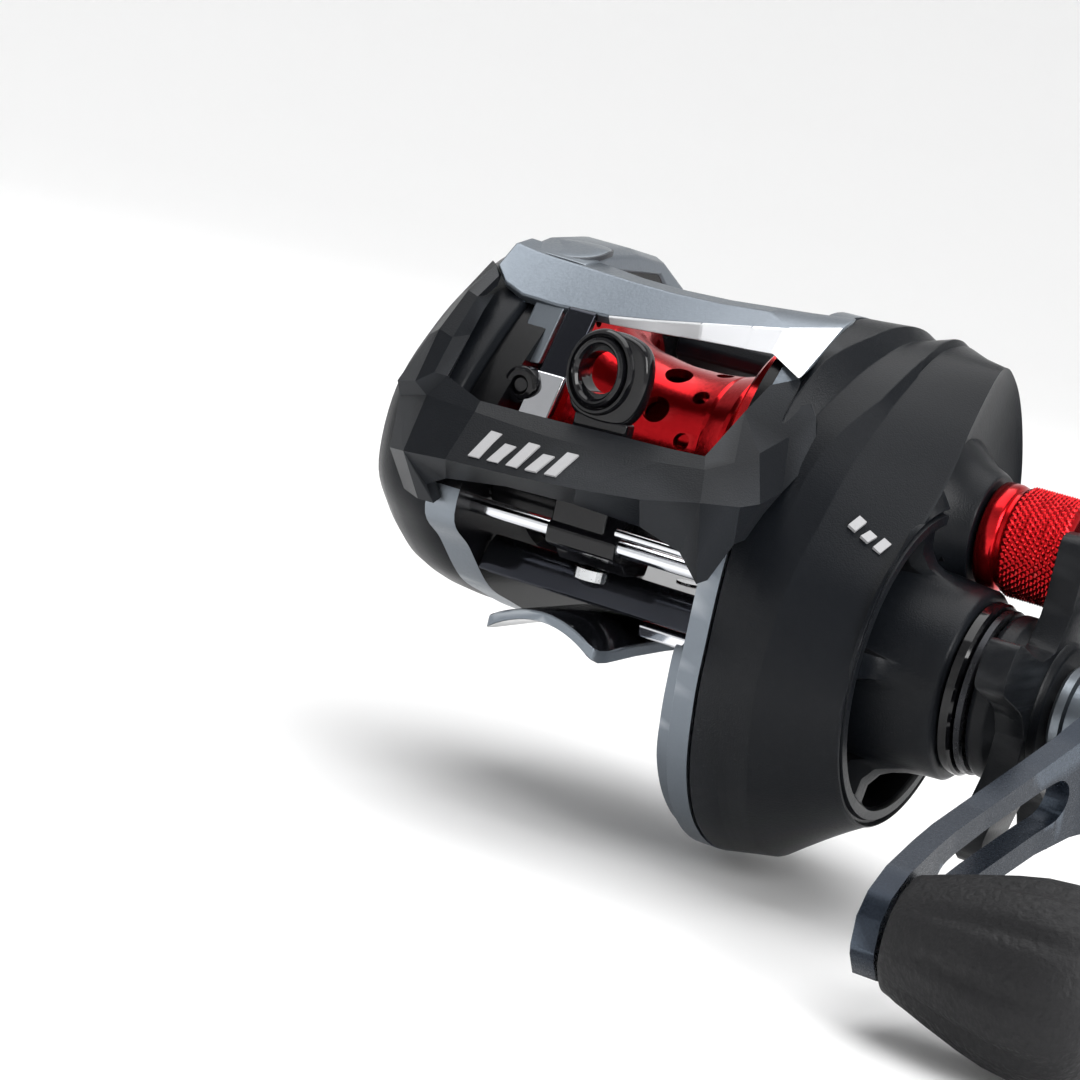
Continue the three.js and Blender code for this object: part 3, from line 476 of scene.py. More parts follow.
# boss that the rear cover screw bears on
turned_piece("cover_screw_boss",
             [(13.3, 0), (13.3, 2.4), (13.6, 2.6), (15.5, 2.8), (15.5, 0)],
             (22.0, 10.2), gunmetal_satin, "frame", (), 40, 0.15)
# a black disc closing the recess behind the spool: painted shade
plate_piece("gear_side_inner_plate", circle_of(SPOOL_AXIS, SPOOL_WINDOW_R + 0.8), 16.0, 17.6,
            [circle_of(SPOOL_AXIS, 5.3)], black_and_painted_shade, "frame", soften=0.15)

# ---------------------------------------------------------------------------------------------
# Palm-side ring of the frame. The other ring of the casting, with the window the spool comes out
# through; its rim under the hood and its wall by the spool are coloured black as painted shade.
# ---------------------------------------------------------------------------------------------
PALM_SIDE = [
    (-27.4, 9.9), (-21.9, 5.6), (-14.9, 0.6), (-8.1, -1.7), (-2, -3.4),
    (5, -4.7), (12, -5), (19, -2.5), (24.5, 2.5), (27.5, 9),
    (28.5, 16), (28, 23), (26, 30), (22, 36), (15, 41),
    (6, 42.6), (-3, 41.5), (-11, 37), (-18, 30), (-25, 20),
]
palm_ring = plate_piece("frame_palm_ring_casting", PALM_SIDE, -19.4, -15.2,
                        [circle_of(SPOOL_AXIS, 17.6)], gunmetal_satin, "frame",
                        ("frame_palm_ring",), 0.45)
palm_ring.data.materials.append(black_and_painted_shade)
SHADE_AHEAD_OF_Y = -4
SHADE_ABOVE_Z = 13.5
INNER_WALL_X = -16
# faces in the hood's shade and on the wall facing the spool take black: painted shade
for face in palm_ring.data.polygons:
    middle = face.center * 1000
    in_hood_shade = middle.y < SHADE_AHEAD_OF_Y and middle.z > SHADE_ABOVE_Z
    shaded_inner_wall = abs(face.normal.x) > 0.5 and middle.x > INNER_WALL_X
    if in_hood_shade or shaded_inner_wall:
        face.material_index = 1

# ---------------------------------------------------------------------------------------------
# Top bar of the frame. The part of the casting that crosses over the spool and sweeps down to the
# gear side; a bevel cut along its lower front edge is left bright.
# ---------------------------------------------------------------------------------------------
# stations along X, each with its lower front, crease, upper front, upper back and lower back
TOP_BAR = [
    (-24.6, [(-13.4, 38.4), (-13.8, 39.0), (-10.6, 41.9), (-7, 42.8), (-8, 40.0)]),
    (-22.6, [(-14.0, 36.4), (-14.7, 37.2), (-10.4, 41.6), (-6, 42.6), (-8, 38.6)]),
    (-20.0, [(-13.7, 35.2), (-14.6, 36.2), (-10.1, 41.3), (-5.6, 42.2), (-8, 37.9)]),
    (-15.0, [(-13.4, 35.0), (-14.3, 36.0), (-9.9, 41.1), (-5.6, 41.9), (-8, 37.6)]),
    (-8.0, [(-13.1, 35.2), (-14.0, 36.3), (-10.0, 40.8), (-6.6, 41.4), (-8.4, 37.4)]),
    (-2.0, [(-12.8, 35.6), (-13.9, 37.2), (-10.0, 40.7), (-6.8, 41.3), (-8.4, 37.6)]),
    (4.0, [(-12.9, 36.1), (-13.4, 38.3), (-9.6, 40.9), (-6.2, 41.5), (-8.0, 38.2)]),
    (10.0, [(-12.9, 36.5), (-12.2, 39.4), (-8.4, 41.4), (-5.0, 42.0), (-7.4, 38.8)]),
    (13.6, [(-13.0, 36.8), (-10.6, 40.1), (-6.8, 41.8), (-4.0, 42.3), (-7.0, 39.2)]),
    (18.9, [(-15.6, 34.9), (-6.2, 41.6), (-4.0, 42.5), (-2.6, 42.9), (-8.0, 38.6)]),
]
# the diamond-cut bevel under the top bar: bright, with the cutter's fine matt trace
cut_bevel = finish_of(
    "cut_bevel", (0.92, 0.93, 0.95), (0.86, 0.87, 0.90), metal=0.55, rough=(0.32, 0.42),
    grain=5000, bump=0.03, patch=60,
)
BAR_SIDES = 5
top_bar = piece_from("frame_top_bar_casting",
                     [(x, y, z) for x, section in TOP_BAR for y, z in section],
                     skin_faces(len(TOP_BAR), BAR_SIDES), gunmetal_satin, "frame",
                     ("frame_top_bar",), 0.3, 20)
top_bar.data.materials.append(cut_bevel)
FIRST_POLISHED = 4
for k in range(FIRST_POLISHED, len(TOP_BAR) - 1):
    # the bevel under the crease is polished from the middle to the tip at the gear side
    top_bar.data.polygons[BAR_SIDES * k].material_index = 1

# ---------------------------------------------------------------------------------------------
# Thumb rest. The broad top of the palm-side ring, part of the casting, where the thumb lies; a
# shallow oval is let into it, with a fine dark groove round the oval.
# ---------------------------------------------------------------------------------------------
# stations along X, each section running from the front over the top and back underneath
THUMB_REST = [
    (-23.9, [(-9.6, 41.6), (-4, 43.2), (4, 43.9), (12, 43.3), (19, 40.2), (23.2, 35.4),
             (22, 34.6), (11, 41.6), (-6, 41.6)]),
    (-22.6, [(-9.9, 41.5), (-4, 43.4), (4, 44.1), (12, 43.5), (19, 40.5), (23.6, 35.7),
             (22, 34.6), (11, 41.6), (-6, 41.4)]),
    (-16.6, [(-9.9, 41.3), (-4, 43.3), (4, 44.0), (12, 43.4), (19, 40.4), (23.4, 35.6),
             (22, 34.6), (11, 41.4), (-6, 41.0)]),
    (-14.9, [(-9.6, 41.2), (-4, 42.7), (4, 43.3), (12, 42.7), (19, 39.8), (23.0, 35.2),
             (22, 34.6), (11, 41.2), (-6, 40.8)]),
]
piece_from("frame_thumb_rest", [(x, y, z) for x, section in THUMB_REST for y, z in section],
           skin_faces(4, 9), gunmetal_satin, "frame", soften=0.5, angle=24)

dark_groove = finish_of(
    "dark_groove", (0.05, 0.055, 0.062), (0.07, 0.075, 0.085), metal=0.6, rough=(0.4, 0.5),
    grain=2600, bump=0.05,
)


def rest_height(y):
    """Height of the thumb rest's top at y, read off its own section."""
    section = THUMB_REST[2][1][:4]
    for (y0, z0), (y1, z1) in zip(section, section[1:]):
        if y <= y1:
            return z0 + (z1 - z0) * (y - y0) / (y1 - y0)
    return section[-1][1]


OVAL_MIDDLE = (-18.7, -4.6)
OVAL_SUNK = 0.6


def oval_inlay(name, half_x, half_y, proud, material):
    """A thin oval let into the thumb rest, following its slope."""
    steps = 40
    points = []
    for share, lift in ((1.0, -OVAL_SUNK), (1.0, proud * 0.5), (0.93, proud), (0.5, proud)):
        for i in range(steps):
            x = OVAL_MIDDLE[0] + half_x * share * math.cos(2 * math.pi * i / steps)
            y = OVAL_MIDDLE[1] + half_y * share * math.sin(2 * math.pi * i / steps)
            points.append((x, y, rest_height(y) + lift))
    return piece_from(name, points, skin_faces(4, steps), material, "frame")


oval_inlay("thumb_rest_groove", 3.9, 4.5, 0.03, dark_groove)
oval_inlay("thumb_rest_inlay", 3.6, 4.2, 0.10, gunmetal_satin)

# ---------------------------------------------------------------------------------------------
# Bridge of the frame. It ties the two rings together under the spool: a deck the foot is riveted
# to, a dark polished plate across the front, and a short bright rail at the gear side.
# ---------------------------------------------------------------------------------------------
bright_polish = finish_of(
    "bright_polish", (0.80, 0.81, 0.84), (0.72, 0.74, 0.78), metal=1.0, rough=(0.08, 0.14),
    grain=400, bump=0.01, patch=60,
)
dark_polish = finish_of(
    "dark_polish", (0.028, 0.030, 0.038), (0.045, 0.048, 0.058), metal=0.9, rough=(0.08, 0.14),
    grain=700, bump=0.015, patch=40,
)


def bar_piece(name, section, from_x, to_x, material, body, replaced=(), soften=0.2, angle=24):
    """A straight bar along X from its [y, z] section."""
    points = [(x, y, z) for x in (from_x, to_x) for y, z in section]
    return piece_from(name, points, skin_faces(2, len(section)), material, body, replaced,
                      soften, angle)


bar_piece("frame_bridge_deck", [(-17.2, 2.6), (21, 2.5), (21, 4.4), (-15.6, 4.4)], -14.9, 15.2,
          dark_polish, "frame", ("frame_bottom_bridge",), 0.3)
bar_piece("frame_bridge_front",
          [(-19.3, 3.1), (-19.0, 4.2), (-17.9, 6.4), (-16.6, 7.4), (-15.8, 7.0), (-16.8, 5.6),
           (-17.4, 3.1)],
          -14.9, 15.2, dark_polish, "frame", (), 0.25)
bar_piece("frame_bridge_rail", [(-18.4, 0.9), (-18.6, 2.3), (-17.6, 2.9), (-16.4, 2.5), (-16.6, 0.9)],
          7.5, 15.2, bright_polish, "frame", (), 0.3)

# ---------------------------------------------------------------------------------------------
# Reel foot. A stamped plate, polished dark on top and arched across to sit on the rod's seat;
# it is riveted up under the bridge, and tapers a little towards the rear.
# ---------------------------------------------------------------------------------------------


def reel_foot():
    """Arched across, with its width given at stations from the front end to the rear."""
    low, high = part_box("reel_foot")
    half_length = 1000 * (high[1] - low[1]) / 2
    half_width = 1000 * (high[0] - low[0]) / 2
    across = 16
    stations = [
        (-1.0, 0.80), (-0.985, 0.93), (-0.95, 0.99), (-0.88, 1.0), (-0.6, 0.95), (-0.3, 0.92),
        (0.0, 0.92), (0.3, 0.92), (0.6, 0.93), (0.88, 0.9), (0.96, 0.8), (1.0, 0.62),
    ]
    top, top_arch = 2.05, 0.045
    underside, underside_arch = 0.8, 0.05
    points = []
    for along_y, wide in stations:
        ring = []
        for i in range(across + 1):
            x = half_width * wide * (-1 + 2 * i / across)
            ring.append((x, half_length * along_y, top - top_arch * x * x))
        for i in range(across, -1, -1):
            x, y = ring[i][:2]
            ring.append((x, y, underside - underside_arch * x * x))
        points += ring
    count = 2 * (across + 1)
    return piece_from("reel_foot_plate", points, skin_faces(len(stations), count), dark_polish,
                      "frame", ("reel_foot",), 0.25, 40)


foot = reel_foot()
foot.data.materials.append(gunmetal_satin)
# the stamped edge keeps the casting's satin grey
for face in foot.data.polygons:
    if abs(face.normal.z) < 0.6:
        face.material_index = 1

# ---------------------------------------------------------------------------------------------
# Front hood. A moulded graphite shell screwed over the nose: a creased bar with a window above
# it for the line and one below it, and a leg running up each side to the top bar.
# ---------------------------------------------------------------------------------------------
HOOD = {
    # window edge, left to right along the bar, then up the two legs
    "w0": (-19.9, -28.0, 25.5), "w1": (-15.6, -26.6, 23.6), "w2": (-5, -26.3, 23.8),
    "w3": (3, -26.2, 24.1), "w4": (10, -26.3, 24.3), "w5": (14.5, -26.5, 24.6),
    "wl1": (-20.6, -23.6, 30.6), "wl2": (-21.6, -20.0, 33.6), "wl3": (-22.0, -17.6, 35.6),
    "wr1": (15.1, -20.0, 30.1), "wr2": (15.9, -16.5, 33.6), "wr3": (18.0, -13.6, 34.9),
    # upper crease
    "b00": (-26.2, -27.2, 21.6), "b0": (-21.8, -28.6, 22.7), "b1": (-14.8, -28.8, 22.4),
    "b2": (-5, -28.7, 22.0), "b3": (3, -28.7, 22.2), "b4": (10, -28.8, 22.7),
    "b5": (16.0, -28.8, 23.4), "b6": (17.7, -25.2, 24.7), "br1": (18.9, -21.7, 26.1),
    "br2": (20.3, -17.7, 28.5), "br3": (21.6, -14.9, 31.4),
    # nose crease
    "c00": (-25.3, -28.4, 15.4), "c0": (-21.5, -31.6, 15.9), "c1": (-14.8, -33.2, 16.6),
    "c2": (-5, -33.5, 17.1), "c3": (3, -33.5, 17.7), "c4": (11, -33.3, 18.6),
    "c5": (17.8, -32.0, 20.0), "c6": (20.9, -28.0, 20.3), "c7": (21.9, -25.0, 20.9),
    # edge along the cover
    "s1": (18.7, -13.6, 34.6), "s2": (21.7, -14.8, 31.4), "s3": (23.6, -16.7, 27.2),
    "s4": (22.9, -18.8, 24.5), "s5": (22.2, -20.3, 22.4), "s6": (21.0, -21.3, 19.5),
    "s7": (19.9, -22.2, 16.1),
    # lower edge
    "l00": (-23.4, -26.2, 10.8), "l0": (-20.2, -28.0, 10.4), "l1": (-17.4, -29.0, 10.6),
    "l1a": (-18.6, -29.5, 12.6), "l1b": (-16.0, -29.8, 14.0), "l2": (-8, -29.6, 15.1),
    "l3": (1, -29.6, 15.4), "l4": (10, -29.6, 15.1), "l5": (15.6, -29.5, 13.6),
    "l6": (18.3, -29.0, 10.6), "l7": (19.2, -28.2, 11.3), "l8": (20.3, -25.8, 15.8),
    # left leg, outside edge and its two creases
    "oa": (-26.4, -28.2, 23.4), "ca": (-23.4, -29.2, 24.0), "da": (-21.4, -28.7, 25.6),
    "ob": (-25.9, -23.9, 29.4), "cb": (-24.0, -25.3, 30.4), "db": (-21.8, -25.6, 29.9),
    "oc": (-25.9, -18.4, 34.9), "cc": (-24.2, -20.2, 35.4), "dc": (-22.4, -20.8, 35.0),
    "od": (-25.7, -13.3, 39.2), "cd": (-24.6, -14.2, 38.9), "dd": (-23.2, -15.4, 37.7),
    "back0": (-27.0, -22.4, 22.6), "back1": (-26.4, -22.5, 14.6), "back2": (-26.6, -22.8, 26.2),
}
HOOD_FACES = [
    "w0 w1 b1 b0", "w1 w2 b2 b1", "w2 w3 b3 b2", "w3 w4 b4 b3", "w4 w5 b5 b4", "w5 wr1 b6 b5",
    "wr1 br1 b6", "wr1 wr2 br2 br1", "wr2 wr3 br3 br2", "wr3 s1 br3", "s1 s2 br3",
    "b00 b0 c0 c00", "b0 b1 c1 c0", "b1 b2 c2 c1", "b2 b3 c3 c2", "b3 b4 c4 c3", "b4 b5 c5 c4",
    "b5 b6 c6 c5", "b6 br1 c7 c6", "br1 br2 s5 c7", "br2 s4 s5", "br2 br3 s3 s4", "br3 s2 s3",
    "c00 c0 l0 l00", "c0 c1 l1b l1a", "c0 l1a l1 l0", "c1 c2 l2 l1b", "c2 c3 l3 l2",
    "c3 c4 l4 l3", "c4 c5 l5 l4", "c5 c6 l8 l7 l6", "c5 l6 l5", "c6 c7 s6 s7 l8", "c7 s5 s6",
    "b00 oa ca b0", "b0 ca da", "b0 da w0", "oa ob cb ca", "ca cb db da", "da db wl1 w0",
    "ob oc cc cb", "cb cc dc db", "db dc wl3 wl2 wl1", "oc od cd cc", "cc cd dd dc",
    "b00 back0 back2 oa", "b00 c00 back1 back0", "c00 l00 back1",
]
HOOD_WALL = 1.5


def front_hood():
    """The facets above, given their wall thickness and softened along every crease."""
    names = list(HOOD)
    faces = [tuple(names.index(n) for n in face.split()) for face in HOOD_FACES]
    hood = piece_from("front_hood_shell", [HOOD[n] for n in names], faces, satin_graphite, "frame",
                      ("front_hood",))
    wall = hood.modifiers.new("moulded wall", "SOLIDIFY")
    wall.thickness = HOOD_WALL / 1000
    wall.offset = -1
    round_edges(hood, 0.35, 9)
    return hood


front_hood()

# ---------------------------------------------------------------------------------------------
# Palm-side cover. Graphite shell like the other side's, shallower, rounded for the palm, with
# a ribbed brake dial sunk in its middle. It pulls off to let the spool out.
# ---------------------------------------------------------------------------------------------
PALM_MIDDLE = (2, 19.2)
PALM_SIDE_COVER = [
    (-26.2, 12), (-21.0, 5.6), (-14.6, 0.9), (-8.1, -1.6), (-2, -3.2),
    (5, -4.4), (12, -4.7), (19, -2.3), (24.3, 2.6), (27.3, 9),
    (28.3, 16), (27.8, 23), (25.8, 29.8), (21.6, 35.6), (14.4, 40.2),
    (5.6, 42.9), (-2.6, 42.5), (-11.2, 38.0), (-18.8, 31.8), (-25.7, 22.6),
]
# distance along X, and the share of the outline's size there
PALM_COVER = [(-19.7, 0.97), (-20.1, 0.985), (-23.0, 0.995), (-25.4, 0.985), (-27.6, 0.95),
              (-29.6, 0.89), (-31.2, 0.79), (-32.2, 0.66), (-32.5, 0.5), (-32.3, 0.42),
              (-31.6, 0.40), (-31.6, 0.1)]


def palm_side_cover():
    """The side outline drawn in, station by station, towards the middle of the dial."""
    outline = smooth_loop([(0, y, z) for y, z in PALM_SIDE_COVER], 6)
    points = []
    for x, share in PALM_COVER:
        points += [(x, PALM_MIDDLE[0] + (y - PALM_MIDDLE[0]) * share,
                    PALM_MIDDLE[1] + (z - PALM_MIDDLE[1]) * share) for _, y, z in outline]
    return piece_from("palm_side_cover_shell", points, skin_faces(len(PALM_COVER), len(outline)),
                      satin_graphite, "palm", ("palm_side_cover",), 0.2, 50)


palm_side_cover()

# ---------------------------------------------------------------------------------------------
# Brake dial. A glossy moulded wheel with a ribbed rim, sunk in the middle of the palm cover, with
# a grey bar across it to turn it by.
# ---------------------------------------------------------------------------------------------
ribs = 36
dial_rim = [polar(SPOOL_AXIS, math.pi * i / ribs, 8.9 if i % 2 else 8.5) for i in range(2 * ribs)]
gloss_black = finish_of(
    "gloss_black", (0.003, 0.003, 0.004), (0.006, 0.006, 0.007), rough=(0.07, 0.12), grain=500,
    bump=0.01, patch=40, specular=0.35,
)
plate_piece("brake_dial_wheel", dial_rim, -34.3, -32.9, [], gloss_black, "dial",
            ("brake_dial",), 0.12, 0)
GRIP_HALF_LENGTH = 6.5
GRIP_HALF_WIDTH = 0.9
grip = [(SPOOL_AXIS[0] + a * GRIP_HALF_LENGTH, SPOOL_AXIS[1] + b * GRIP_HALF_WIDTH)
        for a, b in ((-1, -1), (1, -1), (1, 1), (-1, 1))]
plate_piece("brake_dial_grip", grip, -34.38, -34.0, [], gunmetal_satin, "dial",
            soften=0.1, smooth=0)

# ---------------------------------------------------------------------------------------------
# Spool. Turned from aluminium bar and anodised bright red. Two rows of ports round the arbour and
# a ring of small holes in each flange are drilled to save weight.
# ---------------------------------------------------------------------------------------------
red_anodised = finish_of(
    "red_anodised", (0.46, 0.006, 0.010), (0.56, 0.010, 0.014), metal=0.92, rough=(0.16, 0.24),
    grain=1600, bump=0.03, wear=((0.9, 0.35, 0.33), 0.08), patch=25,
)
SPOOL_PROFILE = [
    (12.6, 2.4), (12.6, 15.9), (12.3, 16.5), (11.3, 16.5), (10.9, 16.1), (10.6, 13.2), (10.0, 12.2),
    (8.3, 11.35), (8.1, 11.0), (7.8, 11.0), (7.6, 11.1), (5.2, 10.4), (5.0, 10.1), (4.7, 10.1),
    (4.5, 10.2), (1.5, 9.85), (-1, 9.8), (-4, 9.9), (-8, 10.5), (-10.5, 11.3), (-12.6, 12.6),
    (-13.2, 14), (-13.4, 16.1), (-13.7, 16.5), (-14.6, 16.5), (-14.9, 15.9), (-14.9, 11.6),
    (-8, 9.1), (-1, 8.5), (6, 9.0), (9.6, 9.6), (9.6, 4.2), (-6, 4.2), (-6, 2.4),
]
spool = turned_piece("spool_turned", SPOOL_PROFILE, SPOOL_AXIS, red_anodised, "spool_group",
                     ("spool",), 144, angle=24)


def cut_away(piece, mesh, sharp):
    """Takes a cutting body away from a piece, and marks the edges sharper than the angle."""
    tool = bpy.data.objects.new("cutting_tool", mesh)
    bpy.context.scene.collection.objects.link(tool)
    cut = piece.modifiers.new("cut away", "BOOLEAN")
    cut.operation = "DIFFERENCE"
    cut.solver = "EXACT"
    cut.object = tool
    bpy.context.view_layer.update()
    made = bpy.data.meshes.new_from_object(piece.evaluated_get(bpy.context.evaluated_depsgraph_get()))
    piece.modifiers.clear()
    piece.data = made
    bpy.data.objects.remove(tool)
    made.set_sharp_from_angle(angle=math.radians(sharp))


def drill(piece, cutters):
    """Drills a piece with rods given as start, direction, length and radius, all in mm."""
    work = bmesh.new()
    for start, direction, length, radius in cutters:
        spin = Vector(direction).to_track_quat("Z", "Y").to_matrix().to_4x4()
        middle = Vector(start) + Vector(direction).normalized() * length / 2
        bmesh.ops.create_cone(work, cap_ends=True, segments=28, radius1=radius / 1000,
                              radius2=radius / 1000, depth=length / 1000,
                              matrix=Matrix.Translation(middle / 1000) @ spin)
    mesh = bpy.data.meshes.new("drills")
    work.to_mesh(mesh)
    work.free()
    cut_away(piece, mesh, 28)


ports = []
for row_x, first, count, radius in ((-2.2, 154, 10, 1.75), (2.6, 136, 10, 1.1)):
    for i in range(count):
        a = math.radians(first) + 2 * math.pi * i / count
        ports.append(((row_x, *polar(SPOOL_AXIS, a, 6.5)), (0, math.cos(a), math.sin(a)), 6, radius))
FLANGE_HOLES = 24
FLANGE_HOLE_CIRCLE = 14.6
for i in range(FLANGE_HOLES):
    at = polar(SPOOL_AXIS, 2 * math.pi * i / FLANGE_HOLES, FLANGE_HOLE_CIRCLE)
    for start_x in (9.4, -16):
        ports.append(((start_x, *at), (1, 0, 0), 5, 0.7))
drill(spool, ports)

# ---------------------------------------------------------------------------------------------
# Level-wind. A glossy line guide with an oval ring rides on a chromed rod and on the worm's
# black tube; a pawl under it follows the worm's crossed grooves.
# ---------------------------------------------------------------------------------------------
EYE = (-1.9, 30.5)


def slab_piece(name, outline, from_y, to_y, material, body, replaced=(), soften=0.4):
    """A plate facing the front, from its [x, z] outline."""
    points = [(x, y, z) for y in (from_y, to_y) for x, z in outline]
    return piece_from(name, points, skin_faces(2, len(outline)), material, body, replaced,
                      soften, 20, 4)


EYE_HALF_X = 2.45
EYE_HALF_Z = 3.15


def oval_ring(name, profile, material, soften=0.0, replaced=(), steps=72):
    """A ring round the line's path, from its [y, distance outside the eye] profile."""
    points = []
    for y, out in profile:
        for i in range(steps):
            a = 2 * math.pi * i / steps
            points.append((EYE[0] + (EYE_HALF_X + out) * math.cos(a), y,
                           EYE[1] + (EYE_HALF_Z + out) * math.sin(a)))
    faces = skin_round(len(profile), steps)
    return piece_from(name, points, faces, material, "guide", replaced, soften)


head = [(x, z) for x, _, z in smooth_loop(
    [(-4.2, 0, 25.2), (-0.8, 0, 24.6), (2.4, 0, 25.2), (3.9, 0, 27.9), (4.0, 0, 32.0),
     (2.4, 0, 34.7), (-1.6, 0, 35.5), (-4.8, 0, 34.2), (-5.9, 0, 31), (-5.6, 0, 27.3)], 6)]
guide = slab_piece("line_guide_head", head, -24.6, -22.0, gloss_black, "guide",
                   ("line_guide",), 0.6)
drill(guide, [((EYE[0], -27, EYE[1]), (0, 1, 0), 8, 2.55)])
slab_piece("line_guide_neck", [(-4.0, 12.0), (3.2, 12.0), (3.0, 25.4), (-4.2, 25.4)], -24.5, -22.2,
           gloss_black, "guide")
bar_piece("line_guide_carriage",
          [(-24.6, 9.6), (-23.4, 9.1), (-21.6, 8.8), (-19.9, 7.4), (-15, 7.4), (-14.2, 10), (-14.6, 11.4),
           (-16.0, 10.5), (-17.4, 10.0), (-19.0, 10.5), (-20.3, 11.8), (-20.8, 13.4), (-20.4, 15.0),
           (-19.2, 16.3), (-21.6, 17.0), (-24.0, 12.6), (-24.8, 11.4)],
          -4.2, 5.2, gloss_black, "guide", (), 0.3)
oval_ring("line_guide_collar",
          [(-25.1, 1.2), (-25.3, 1.4), (-25.3, 1.7), (-25.0, 1.9), (-24.4, 2.0), (-24.4, 1.2)],
          gloss_black)
oval_ring("line_guide_eye",
          [(-25.7, 0.35), (-25.8, 0.6), (-25.6, 0.9), (-24.9, 1.1), (-21.6, 1.0), (-21.3, 0.7),
           (-21.6, 0.2), (-22.5, 0.0), (-24.8, 0.0), (-25.4, 0.1)],
          gloss_black, 0.0, ("guide_ring",))

# ---------------------------------------------------------------------------------------------
# Level-wind rods and worm tube. A chromed rod steadies the guide, a thin wire crosses in front of
# it at the gear side, and a drawn black tube, slotted underneath, covers the worm.
# ---------------------------------------------------------------------------------------------
ROD_AXIS = axis_of("stabiliser_rod")
WORM_AXIS = axis_of("worm_cog")
turned_piece("stabiliser_rod_chromed",
             [(-17.9, 0), (-17.9, 0.95), (-17.7, 1.0), (16.2, 1.0), (16.4, 0.95), (16.4, 0)],
             ROD_AXIS, bright_polish, "frame", ("stabiliser_rod",), 48)
turned_piece("line_guard_wire", [(5.6, 0), (5.6, 0.5), (16.2, 0.5), (16.2, 0)],
             (-26.0, 13.1), bright_polish, "frame", (), 32)


def worm_tube():
    """Drawn black tube round the worm, slotted underneath for the pawl."""
    slot_half = math.radians(50)
    arc = [-math.pi / 2 + slot_half + (2 * math.pi - 2 * slot_half) * i / 40 for i in range(41)]
    section = [polar(WORM_AXIS, a, 2.9) for a in arc]
    section += [polar(WORM_AXIS, a, 2.35) for a in reversed(arc)]
    return bar_piece("worm_tube_slotted", section, -14.9, 13.3, black_and_painted_shade, "frame",
                     ("worm_shield",), 0.08, 40)


worm_tube()

# ---------------------------------------------------------------------------------------------
# Uprights at the palm end of the front window. Three small fins of the casting, polished or satin,
# that rise from the bridge's level to the top bar.
# ---------------------------------------------------------------------------------------------
RAIL = [(-13.2, -21.3, 23.2), (-9.0, -21.3, 23.2), (-9.3, -19.6, 23.2), (-13.0, -19.6, 23.2)]
piece_from("frame_upright_polished",
           RAIL + [(x * 0.98 - 0.6, y + 6.9, 36.3) for x, y, low_z in RAIL],
           skin_faces(2, 4), dark_polish, "frame", (), 0.45)
FOOTING = [(-13.1, -21.7, 23.0), (-9.1, -21.7, 23.0), (-9.1, -21.1, 23.0), (-13.1, -21.1, 23.0)]
piece_from("frame_upright_footing",
           FOOTING + [(x - 0.25, y + 2.7, 28.2) for x, y, low_z in FOOTING],
           skin_faces(2, 4), bright_polish, "frame", (), 0.2)
WALL = [(-18.0, -17.6, 28.4), (-13.9, -17.6, 28.8), (-14.4, -15.6, 28.8), (-18.2, -15.6, 28.4)]
piece_from("frame_upright_wall",
           WALL + [(x - 0.2, y + 3.8, 36.2) for x, y, low_z in WALL],
           skin_faces(2, 4), gunmetal_satin, "frame", (), 0.3)


# ---------------------------------------------------------------------------------------------
# Front cover screw. A dark turned socket screw, let into the gear-side ring's guard, that pulls
# the cover up against the frame.
# ---------------------------------------------------------------------------------------------
SCREW_AXIS = (-16.2, -9.4)
front_screw = turned_piece(
    "cover_screw_front_socket",
    [(13.15, 0), (13.15, 1.6), (13.4, 1.9), (15.4, 1.9), (15.4, 0)],
    SCREW_AXIS, dark_polish, "frame", ("cover_screw_front",), 40)
drill(front_screw, [((12.6, *SCREW_AXIS), (1, 0, 0), 1.3, 0.9)])

# ---------------------------------------------------------------------------------------------
# Guide-end fitting. A glossy black boss on the front of the frame, beside the uprights, with a small
# screw sunk in its middle.
# ---------------------------------------------------------------------------------------------
BOSS_AT = (-14.1, 26.1)


def front_stud(name, at, radius, from_y, to_y):
    """A small round fitting facing the front, with its head's edge turned off."""
    steps = 40
    profile = [(to_y, radius), (from_y + 0.3, radius), (from_y, radius * 0.8)]
    points = []
    for y, r in profile:
        for i in range(steps):
            x, z = polar(at, 2 * math.pi * i / steps, r)
            points.append((x, y, z))
    return piece_from(name, points, skin_faces(3, steps), gloss_black, "frame",
                      (), 0.1)


boss = front_stud("guide_end_boss", BOSS_AT, 2.3, -20.9, -18.2)
drill(boss, [((BOSS_AT[0], -21.5, BOSS_AT[1]), (0, 1, 0), 1.6, 1.2)])
front_stud("guide_end_screw", BOSS_AT, 1.1, -20.6, -19.0)

# ---------------------------------------------------------------------------------------------
# Cast-control cap. Turned from aluminium and anodised red, with a smooth collar, a groove and
# a diamond knurl for the fingers; it screws over the boss and presses on the spool's end.
# ---------------------------------------------------------------------------------------------


